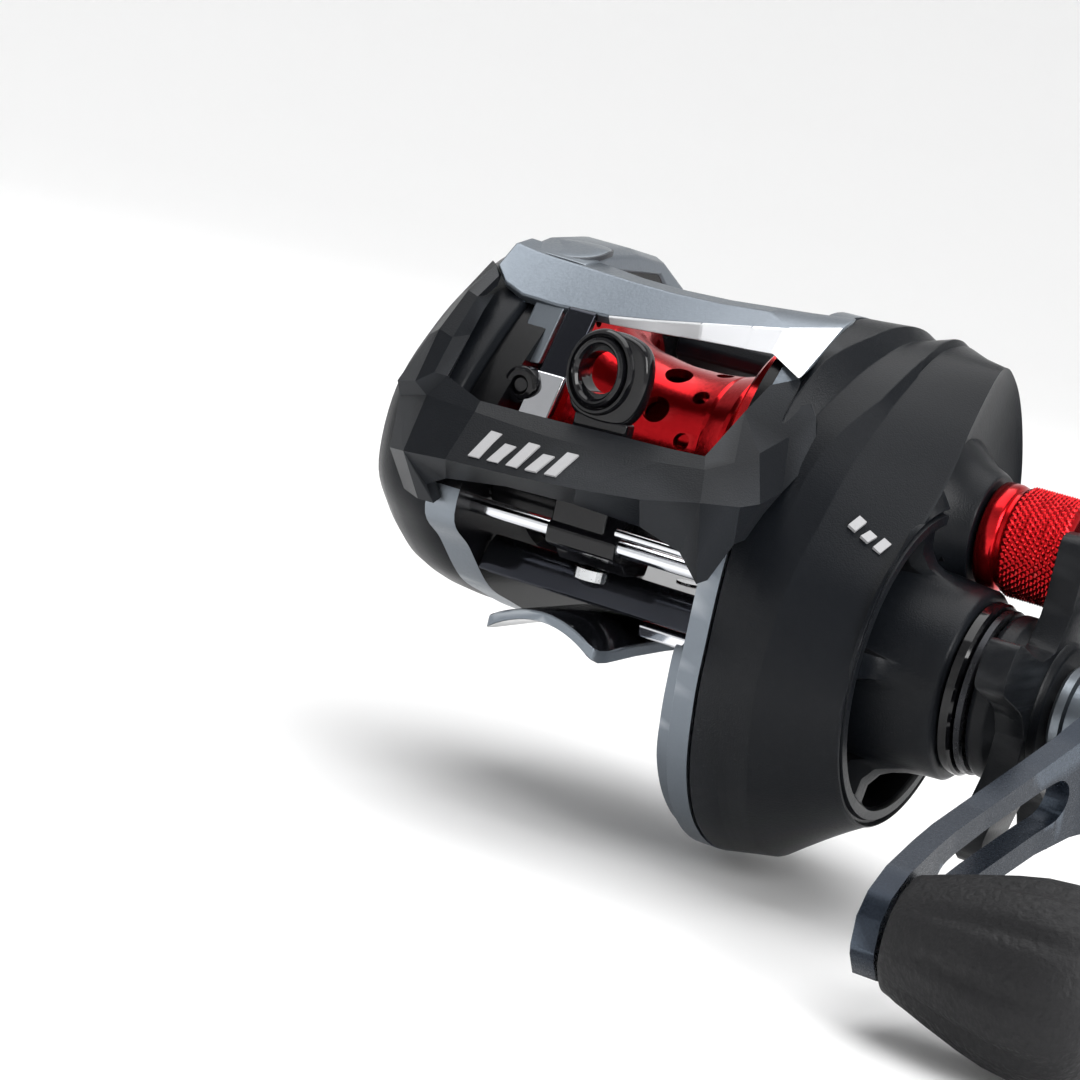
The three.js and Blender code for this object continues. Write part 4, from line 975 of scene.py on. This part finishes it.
def cast_control_cap():
    """Turned first, then its grip is pressed into diamonds by two crossing spirals."""
    low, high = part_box("cast_control_cap")
    start, end = 1000 * low[0], 1000 * high[0]
    steps, diamonds = 192, 48
    knurl_from, knurl_to = start + 3.7, end - 0.9
    pitch_r, lean, valley, depth, flat = 6.6, 0.9, 0.36, 0.5, 0.12
    profile = [(start + 8.2, 5.2), (start, 5.2), (start, 6.2), (start + 0.25, 6.45), (start + 1.8, 6.5),
               (start + 2.3, 6.35), (start + 2.5, 6.0), (start + 2.9, 6.0), (start + 3.1, 6.35)]
    rows = 44
    knurled = [(knurl_from + (knurl_to - knurl_from) * k / rows, 6.62) for k in range(rows + 1)]
    profile += [(knurl_from - 0.25, 6.45)] + knurled
    profile += [(knurl_to + 0.25, 6.4), (end - 0.15, 5.9), (end, 5.5), (end, 3.6),
                (end - 0.5, 3.3), (end - 0.5, 0.2)]
    points = []
    for x, r in profile:
        for i in range(steps):
            a = 2 * math.pi * i / steps
            height = r
            if (x, r) in knurled:
                run = (x - knurl_from) * diamonds / (2 * math.pi * pitch_r) * lean
                turn = a * diamonds / (2 * math.pi)
                left = abs(((turn + run) % 1) - 0.5) * 2
                right = abs(((turn - run) % 1) - 0.5) * 2
                height = r - valley + depth * min(1.0, left + flat) * min(1.0, right + flat)
            points.append((x, *polar(SPOOL_AXIS, a, height)))
    faces = skin_faces(len(profile), steps)
    return piece_from("cast_control_cap_knurled", points, faces, red_anodised, "cast_cap",
                      ("cast_control_cap",), angle=50)


cast_control_cap()

# ---------------------------------------------------------------------------------------------
# Star drag and the rings under it. The star is moulded in black over a brass nut; the rings are
# turned, one glossy at the cover's neck and two satin ones that space the star.
# ---------------------------------------------------------------------------------------------
turned_piece("neck_collar_ring",
             [(45.2, 6.9), (45.2, 9.9), (45.5, 10.4), (46.5, 10.4), (46.8, 10.1), (46.8, 6.9)],
             DRIVE_AXIS, gloss_black, "crank", (), 120)
ring_satin = finish_of(
    "ring_satin", (0.02, 0.021, 0.024), (0.03, 0.031, 0.035), metal=0.8, rough=(0.25, 0.35),
    grain=1800, bump=0.03,
)
turned_piece("spacer_ring_turned",
             [(47.0, 3.1), (47.0, 9.6), (47.2, 9.9), (47.9, 9.9), (48.1, 9.6), (48.1, 3.1)],
             DRIVE_AXIS, ring_satin, "crank", ("spacer_ring_inner",), 120)
star_black = finish_of(
    "star_black", (0.0038, 0.0046, 0.006), (0.0058, 0.0066, 0.0082), rough=(0.3, 0.4), grain=4200,
    bump=0.1, wear=((0.035, 0.037, 0.04), 0.35), patch=30, specular=0.16,
)


def star_drag():
    """Five arms round a flanged hub, each arm given by its half-angles and radii."""
    tip = 20.5
    arms = 5
    outline = []
    for i in range(arms):
        middle = math.pi / 2 + 2 * math.pi * i / arms
        for turn, radius in ((-0.56, 9.4), (-0.30, 11.4), (-0.215, 14.5), (-0.175, 17.5), (-0.15, 19.6),
                             (-0.08, tip), (0.08, tip), (0.15, 19.6), (0.175, 17.5), (0.215, 14.5),
                             (0.30, 11.4), (0.56, 9.4)):
            outline.append(polar(DRIVE_AXIS, middle + turn, radius))
    outline = [(y, z) for _, y, z in smooth_loop([(0, y, z) for y, z in outline], 3)]
    star = plate_piece("star_drag_arms", outline, 51.9, 55.4, [], star_black, "star",
                       ("star_drag",), 0.7, 0)
    drill(star, [((40, *DRIVE_AXIS), (1, 0, 0), 30, 3.2)])
    turned_piece("star_drag_hub",
                 [(48.4, 3.2), (48.4, 9.4), (49.0, 9.8), (50.6, 9.8), (51.6, 9.2), (55.5, 8.4),
                  (56.2, 7.6), (56.2, 3.2)],
                 DRIVE_AXIS, star_black, "star", ("drag_spring_washer",), 96, 0.25)
    return star


star_drag()

# ---------------------------------------------------------------------------------------------
# Handle. A bent aluminium strip, dark blue-grey anodised, slotted for lightness, held by a nut
# and its retainer on the drive shaft. Each end carries a round moulded knob on its own post.
# ---------------------------------------------------------------------------------------------
handle_anodised = finish_of(
    "handle_anodised", (0.013, 0.018, 0.027), (0.018, 0.024, 0.034), metal=0.5, rough=(0.24, 0.32),
    grain=3600, bump=0.03, wear=((0.12, 0.15, 0.19), 0.4), specular=0.25,
)
HANDLE_TILT = math.radians(24)
BEND = [(0, 64.1), (4, 64.1), (8, 64.0), (10.5, 63.4), (13, 62.6), (20, 60.8), (30, 58.8),
        (36, 57.9), (40, 57.6), (46, 57.4), (56, 57.3)]
HALF_WIDTH = [(0, 8.8), (4, 8.7), (7, 8.2), (10.5, 7.1), (14, 6.2), (20, 5.6), (30, 5.4), (40, 5.8),
              (46, 6.0), (50, 5.3), (52.3, 3.6), (53.3, 0.6)]
STRIP = 2.7
POST_REACH = 48
POST_BORE_R = 2.3
SHAFT_BORE_R = 2.6
SLOT_FROM, SLOT_TO, SLOT_HALF = 17.5, 37.5, 2.7


def level_at(table, r):
    """The value at r, read between a table's entries."""
    for (r0, v0), (r1, v1) in zip(table, table[1:]):
        if r <= r1:
            return v0 + (v1 - v0) * (r - r0) / (r1 - r0)
    return table[-1][1]


def handle_arm():
    """Walks a rounded strip outline over the bend."""
    tip = HALF_WIDTH[-1][0]
    bends = [r for r, x in BEND if r < tip]
    stations = sorted({r for r, w in HALF_WIDTH} | set(bends) | set(range(1, 53)))
    stations = [-r for r in reversed(stations) if r > 0] + stations
    rows = [-1.0, -0.62, -0.3, 0.0, 0.3, 0.62, 1.0]
    points, faces = [], []
    cos, sin = math.cos(HANDLE_TILT), math.sin(HANDLE_TILT)

    def place(x, r, w):
        return (x, DRIVE_AXIS[0] + r * cos - w * sin, DRIVE_AXIS[1] + r * sin + w * cos)

    for side in (1, -1):
        for r in stations:
            x = level_at(BEND, abs(r)) + side * STRIP / 2
            for w in rows:
                points.append(place(x, r, w * level_at(HALF_WIDTH, abs(r))))
    wide, count = len(rows), len(stations)
    for side in (0, 1):
        base = side * wide * count
        for i in range(count - 1):
            for j in range(wide - 1):
                a = base + i * wide + j
                faces.append((a, a + 1, a + wide + 1, a + wide))
    off = wide * count
    for i in range(count - 1):
        for j in (0, wide - 1):
            a = i * wide + j
            faces.append((a, a + wide, a + wide + off, a + off))
    for i in (0, count - 1):
        for j in range(wide - 1):
            a = i * wide + j
            faces.append((a, a + 1, a + 1 + off, a + off))
    return piece_from("handle_arm_strip", points, faces, handle_anodised, "crank",
                      ("handle_arm",), angle=40)


arm = handle_arm()


def slot_cutters():
    """Long rounded slots and the bores for shaft and knob posts, as cutting bodies."""
    cos, sin = math.cos(HANDLE_TILT), math.sin(HANDLE_TILT)
    work = bmesh.new()

    def punch(outline):
        low, high = [], []
        for r, w in outline:
            y = DRIVE_AXIS[0] + r * cos - w * sin
            z = DRIVE_AXIS[1] + r * sin + w * cos
            low.append(work.verts.new(Vector((50, y, z)) / 1000))
            high.append(work.verts.new(Vector((70, y, z)) / 1000))
        work.faces.new(list(reversed(low)))
        work.faces.new(high)
        for i in range(len(outline)):
            j = (i + 1) % len(outline)
            work.faces.new((low[i], low[j], high[j], high[i]))

    def pill(start, end, half):
        outline = []
        for centre, first in ((end, -math.pi / 2), (start, math.pi / 2)):
            for i in range(13):
                a = first + math.pi * i / 12
                outline.append((centre + half * math.cos(a), half * math.sin(a)))
        return outline

    def bore(middle, half):
        turns = [t * math.pi / 16 for t in range(32)]
        return [(middle + half * math.cos(t), half * math.sin(t)) for t in turns]

    for side in (1, -1):
        slot = pill(SLOT_FROM, SLOT_TO, SLOT_HALF)
        punch([(side * r, side * w) for r, w in slot])
        punch(bore(side * POST_REACH, POST_BORE_R))
    punch(bore(0, SHAFT_BORE_R))
    bmesh.ops.recalc_face_normals(work, faces=work.faces)
    mesh = bpy.data.meshes.new("punches")
    work.to_mesh(mesh)
    work.free()
    return mesh


cut_away(arm, slot_cutters(), 40)
round_edges(arm, 0.5, 40, 3)

# ---------------------------------------------------------------------------------------------
# Handle collar, nut and retainer. A turned collar spaces the arm, a polished hexagon nut holds it,
# and a black cap keeps the nut from turning.
# ---------------------------------------------------------------------------------------------
turned_piece("handle_collar_turned",
             [(56.6, 3.1), (56.6, 5.6), (57.0, 5.9), (58.0, 5.9), (58.3, 5.3), (62.0, 5.3), (62.4, 5.0),
              (62.4, 3.1)],
             DRIVE_AXIS, gunmetal_satin, "crank", ("handle_collar",), 72)


def handle_nut():
    """A plain hexagon, its corners rounded off."""
    hexagon = [polar(DRIVE_AXIS, math.pi * i / 3, 6.1) for i in range(6)]
    return plate_piece("handle_nut_hex", hexagon, 65.8, 69.4, [], bright_polish, "crank",
                       ("handle_nut",), 0.5, 0)


handle_nut()
turned_piece("nut_retainer_cap",
             [(69.5, 0), (69.5, 5.4), (70.0, 5.5), (70.6, 5.1), (70.8, 4.2), (70.5, 2.2), (70.5, 0)],
             DRIVE_AXIS, gloss_black, "crank", ("nut_retainer",), 64)

# ---------------------------------------------------------------------------------------------
# Knobs. Two round grips moulded in soft black rubber with shallow flutes, each free to turn on its
# own post, with a glossy cap pressed into its end.
# ---------------------------------------------------------------------------------------------
knob_grip = finish_of(
    "knob_grip", (0.007, 0.007, 0.008), (0.012, 0.012, 0.013), rough=(0.5, 0.68), grain=1500, bump=0.5,
    patch=60, specular=0.25,
)


def knob(side):
    """One grip and its end cap, on the axis of its own post."""
    axis = axis_of("knob_post_" + side)
    low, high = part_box("knob_" + side)
    start, end = 1000 * low[0], 1000 * high[0]
    outer = [(0, 5.9), (0.3, 6.4), (1.0, 6.6), (2.0, 7.0), (6, 8.3), (10, 9.5), (13, 10.2), (16, 10.5),
             (19, 10.4), (21.5, 9.6), (22.8, 8.4), (23.2, 7.4)]
    grow = (end - start) / outer[-1][0]
    line = [(start + x * grow, r) for x, r in outer]
    steps = 120
    flutes, flute_depth = 10, 0.55
    profile = [(start, 2.5), *line, (end, 6.3), (end - 1.6, 6.3), (end - 1.6, 2.5)]
    points = []
    for x, r in profile:
        share = min(max((x - start - 3) / 4, 0), 1) * min(max((end - 2.5 - x) / 3, 0), 1)
        for i in range(steps):
            a = 2 * math.pi * i / steps
            wave = max(0.0, math.cos(flutes * a)) ** 2
            dent = flute_depth * share * wave if r > 6.5 else 0
            points.append((x, *polar(axis, a, r - dent)))
    faces = skin_round(len(profile), steps)
    body = side + "_knob"
    piece_from("knob_grip_" + side, points, faces, knob_grip, body,
               ("knob_" + side,), angle=45)
    turned_piece("knob_end_cap_" + side,
                 [(end - 1.3, 0), (end - 1.3, 5.8), (end + 0.4, 6.0), (end + 0.9, 5.6), (end + 1.35, 3.6),
                  (end + 1.4, 0)],
                 axis, gloss_black, body, ("knob_cap_" + side,), 64)


for side in ("front", "rear"):
    knob(side)

# ---------------------------------------------------------------------------------------------
# Thumb bar. A moulded black bar behind the spool with nine grip ribs across its top; it slides
# down in the two frame rings, and pressing it frees the spool for a cast.
# ---------------------------------------------------------------------------------------------
bar_piece("thumb_bar_moulded",
          [(19.8, 31.5), (21.4, 30.1), (24, 30.0), (25.7, 30.7), (26.4, 32.4), (25.8, 34.0),
           (24.2, 34.9), (22.2, 35.0), (20.5, 34.4), (19.7, 33.0)],
          -14.7, 13.1, satin_graphite, "thumb", ("thumb_bar",), 0.4)
RIBS, FIRST_RIB_X, RIB_PITCH, RIB_HALF = 9, -8.8, 2, 0.35
for k in range(RIBS):
    x = FIRST_RIB_X + RIB_PITCH * k
    bar_piece("thumb_bar_rib_%d" % k,
              [(20.8, 34.5), (25.4, 34.3), (25.2, 34.8), (23.6, 35.35), (21.6, 35.2)],
              x - RIB_HALF, x + RIB_HALF, satin_graphite, "thumb", (), 0.1)

# ---------------------------------------------------------------------------------------------
# Printed marks. A row of plain slanted bars on the hood and a shorter one on the gear-side
# cover, in pale grey ink, in place of any lettering.
# ---------------------------------------------------------------------------------------------
print_grey = finish_of(
    "print_grey", (0.34, 0.34, 0.35), (0.40, 0.40, 0.41), rough=(0.4, 0.5), grain=3000, bump=0.05,
)


INK_REACH = (-0.3, 0.28)
SHORTER_BY = 0.28


def mark_bars(name, surface, bars, first, pitch, width, bottom, top, lean):
    """A row of leaning bars printed on a face. surface(s, t) gives the face's point s mm along
    and t up it, with the way out of the face."""
    points, faces = [], []
    for k in range(bars):
        left = first + k * pitch
        high = top if k % 2 == 0 else top - SHORTER_BY * (top - bottom)
        corners = [(left, bottom), (left + width, bottom), (left + width + lean, high),
                   (left + lean, high)]
        base = len(points)
        for reach in INK_REACH:
            for along, up in corners:
                point, out = surface(along, up)
                points.append(tuple(point + out * reach))
        faces += [tuple(base + i for i in f) for f in skin_faces(2, 4)]
    return piece_from(name, points, faces, print_grey, "frame")


def on_nose(x, share):
    """Point on the hood's face between its two creases, and the way out of it."""
    for a, b in (("1", "2"), ("2", "3")):
        top_a, top_b = Vector(HOOD["b" + a]), Vector(HOOD["b" + b])
        low_a, low_b = Vector(HOOD["c" + a]), Vector(HOOD["c" + b])
        if x <= top_b.x or b == "3":
            along = (x - top_a.x) / (top_b.x - top_a.x)
            top, low = top_a.lerp(top_b, along), low_a.lerp(low_b, along)
            out = (top_b - top_a).cross(top_a - low_a).normalized()
            return low.lerp(top, share), out


def on_first_band(x, height):
    """Point on the cover's first band by the dish, and the way out of it."""
    right, up = Vector((5.4, 0.9, -2.8)).normalized(), Vector((0.0, 0.62, 0.78)).normalized()
    corner = Vector((30.6, -19.25, 20.7))
    return corner + right * x + up * height, right.cross(up).normalized()


mark_bars("hood_mark", on_nose, bars=5, first=-12.2, pitch=2.6, width=1.5, bottom=0.16, top=0.74,
          lean=0.9)
mark_bars("cover_mark", on_first_band, bars=3, first=0.0, pitch=1.9, width=1.1, bottom=0.0, top=1.9,
          lean=0.65)

# ---------------------------------------------------------------------------------------------
# Inner works. Turned steel shafts and bearings, hobbed brass gears, moulded nylon cogs and
# the woven drag washer keep the machined solids and get their own finishes.
# ---------------------------------------------------------------------------------------------
turned_steel = finish_of(
    "turned_steel", (0.50, 0.51, 0.52), (0.58, 0.59, 0.60), metal=1.0, rough=(0.2, 0.3),
    grain=1500, bump=0.03,
)
hobbed_brass = finish_of(
    "hobbed_brass", (0.60, 0.42, 0.15), (0.68, 0.49, 0.2), metal=1.0, rough=(0.22, 0.32),
    grain=1500, bump=0.03,
)
moulded_nylon = finish_of(
    "moulded_nylon", (0.70, 0.68, 0.62), (0.78, 0.76, 0.70), rough=(0.4, 0.5), grain=900,
    bump=0.05,
)
woven_carbon = finish_of(
    "woven_carbon", (0.02, 0.02, 0.022), (0.05, 0.05, 0.055), rough=(0.35, 0.5), grain=600,
    bump=0.2, patch=400,
)
WORKS = {
    "turned_steel": turned_steel, "gear_brass": hobbed_brass, "white_nylon": moulded_nylon,
    "drag_carbon": woven_carbon, "polished_metal": bright_polish, "gunmetal_casting": gunmetal_satin,
    "black_gloss": gloss_black, "black_shell": satin_graphite, "red_anodised": red_anodised,
    "handle_blue_grey": handle_anodised, "knob_rubber": knob_grip,
}
for entry in frame["record"]["subparts"]:
    node = frame["nodes"][entry["node"]]
    node.data.materials.clear()
    node.data.materials.append(WORKS[entry["material_slot"]])

# ---------------------------------------------------------------------------------------------
# Studio. The reel stands on pale paper that sweeps up all round it, under one wide soft box,
# with a smaller one at the handle's side.
# ---------------------------------------------------------------------------------------------
FLOOR_GAP = 0.0005
FLOOR_Z = min(corner[2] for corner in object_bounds()) - FLOOR_GAP


def studio_paper():
    """A round sheet of pale paper that sweeps up into a wall all round, well clear of the reel."""
    work = bmesh.new()
    sweep = [(0.02, 0.0), (1.0, 0.0)]
    sweep += [(1.0 + 0.8 * math.sin(math.radians(t)), 0.8 - 0.8 * math.cos(math.radians(t)))
              for t in range(10, 91, 10)]
    sweep.append((1.8, 1.5))
    steps = 72
    rows = []
    for r, z in sweep:
        ring = [polar((0, 0), 2 * math.pi * i / steps, r) for i in range(steps)]
        rows.append([work.verts.new((x, y, FLOOR_Z + z)) for x, y in ring])
    work.faces.new(rows[0])
    for a, b in zip(rows, rows[1:]):
        for i in range(steps):
            work.faces.new((a[i], a[(i + 1) % steps], b[(i + 1) % steps], b[i]))
    bmesh.ops.recalc_face_normals(work, faces=work.faces)
    mesh = bpy.data.meshes.new("floor")
    work.to_mesh(mesh)
    work.free()
    for face in mesh.polygons:
        face.use_smooth = True
    paper = bpy.data.materials.new("paper")
    paper.use_nodes = True
    shader = paper.node_tree.nodes["Principled BSDF"]
    shader.inputs["Base Color"].default_value = (0.93, 0.93, 0.93, 1)
    shader.inputs["Roughness"].default_value = 0.9
    shader.inputs["Specular IOR Level"].default_value = 0.1
    mesh.materials.append(paper)
    sheet = bpy.data.objects.new("floor", mesh)
    bpy.context.scene.collection.objects.link(sheet)
    sheet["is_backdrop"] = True


studio_paper()
bpy.context.scene.view_settings.view_transform = "Standard"
world = bpy.data.worlds.new("studio")
bpy.context.scene.world = world
world.use_nodes = True
world.node_tree.nodes["Background"].inputs["Color"].default_value = (1, 1, 1, 1)
world.node_tree.nodes["Background"].inputs["Strength"].default_value = 0.42


def soft_box(name, place, aim, size, power):
    """A soft white panel of light, aimed at a point."""
    lamp = bpy.data.lights.new(name, "AREA")
    lamp.shape = "RECTANGLE"
    lamp.size, lamp.size_y = size
    lamp.energy = power
    holder = bpy.data.objects.new(name, lamp)
    holder.location = place
    holder.rotation_euler = (Vector(aim) - Vector(place)).to_track_quat("-Z", "Y").to_euler()
    bpy.context.scene.collection.objects.link(holder)


soft_box("top_box", (0.0, 0.1, 1.2), (0, 0, 0), (1.4, 1.4), 16)
soft_box("key_box", (0.62, -0.26, 0.32), (0, 0, 0.02), (0.36, 0.36), 3.6)

CAMERA_AZIMUTH, CAMERA_ELEVATION, CAMERA_ROLL = (math.radians(a) for a in (27.48, 8.0, 13.07))
CAMERA_DISTANCE, CAMERA_SHIFT_X, CAMERA_SHIFT_Y = 0.38163, 0.01809, -0.00934
CAMERA_AIM = (0, 0, 0.02)
CAMERA_LENS, CAMERA_FILM = 102.68, 36


def studio_camera():
    """A long lens in front and to the handle's side, a little above, tipped by the roll."""
    a, e, r = CAMERA_AZIMUTH, CAMERA_ELEVATION, CAMERA_ROLL
    back = Vector((math.sin(a) * math.cos(e), -math.cos(a) * math.cos(e), math.sin(e)))
    level = Vector((math.cos(a), math.sin(a), 0))
    rise = back.cross(level)
    right = math.cos(r) * level + math.sin(r) * rise
    up = math.cos(r) * rise - math.sin(r) * level
    place = (Vector(CAMERA_AIM) + back * CAMERA_DISTANCE - right * CAMERA_SHIFT_X
             + up * CAMERA_SHIFT_Y)
    lens = bpy.data.cameras.new("camera")
    lens.lens = CAMERA_LENS
    lens.sensor_width = CAMERA_FILM
    camera = bpy.data.objects.new("camera", lens)
    turn = Matrix((right, up, back)).transposed().to_4x4()
    camera.matrix_world = Matrix.Translation(place) @ turn
    bpy.context.scene.collection.objects.link(camera)
    bpy.context.scene.camera = camera


studio_camera()
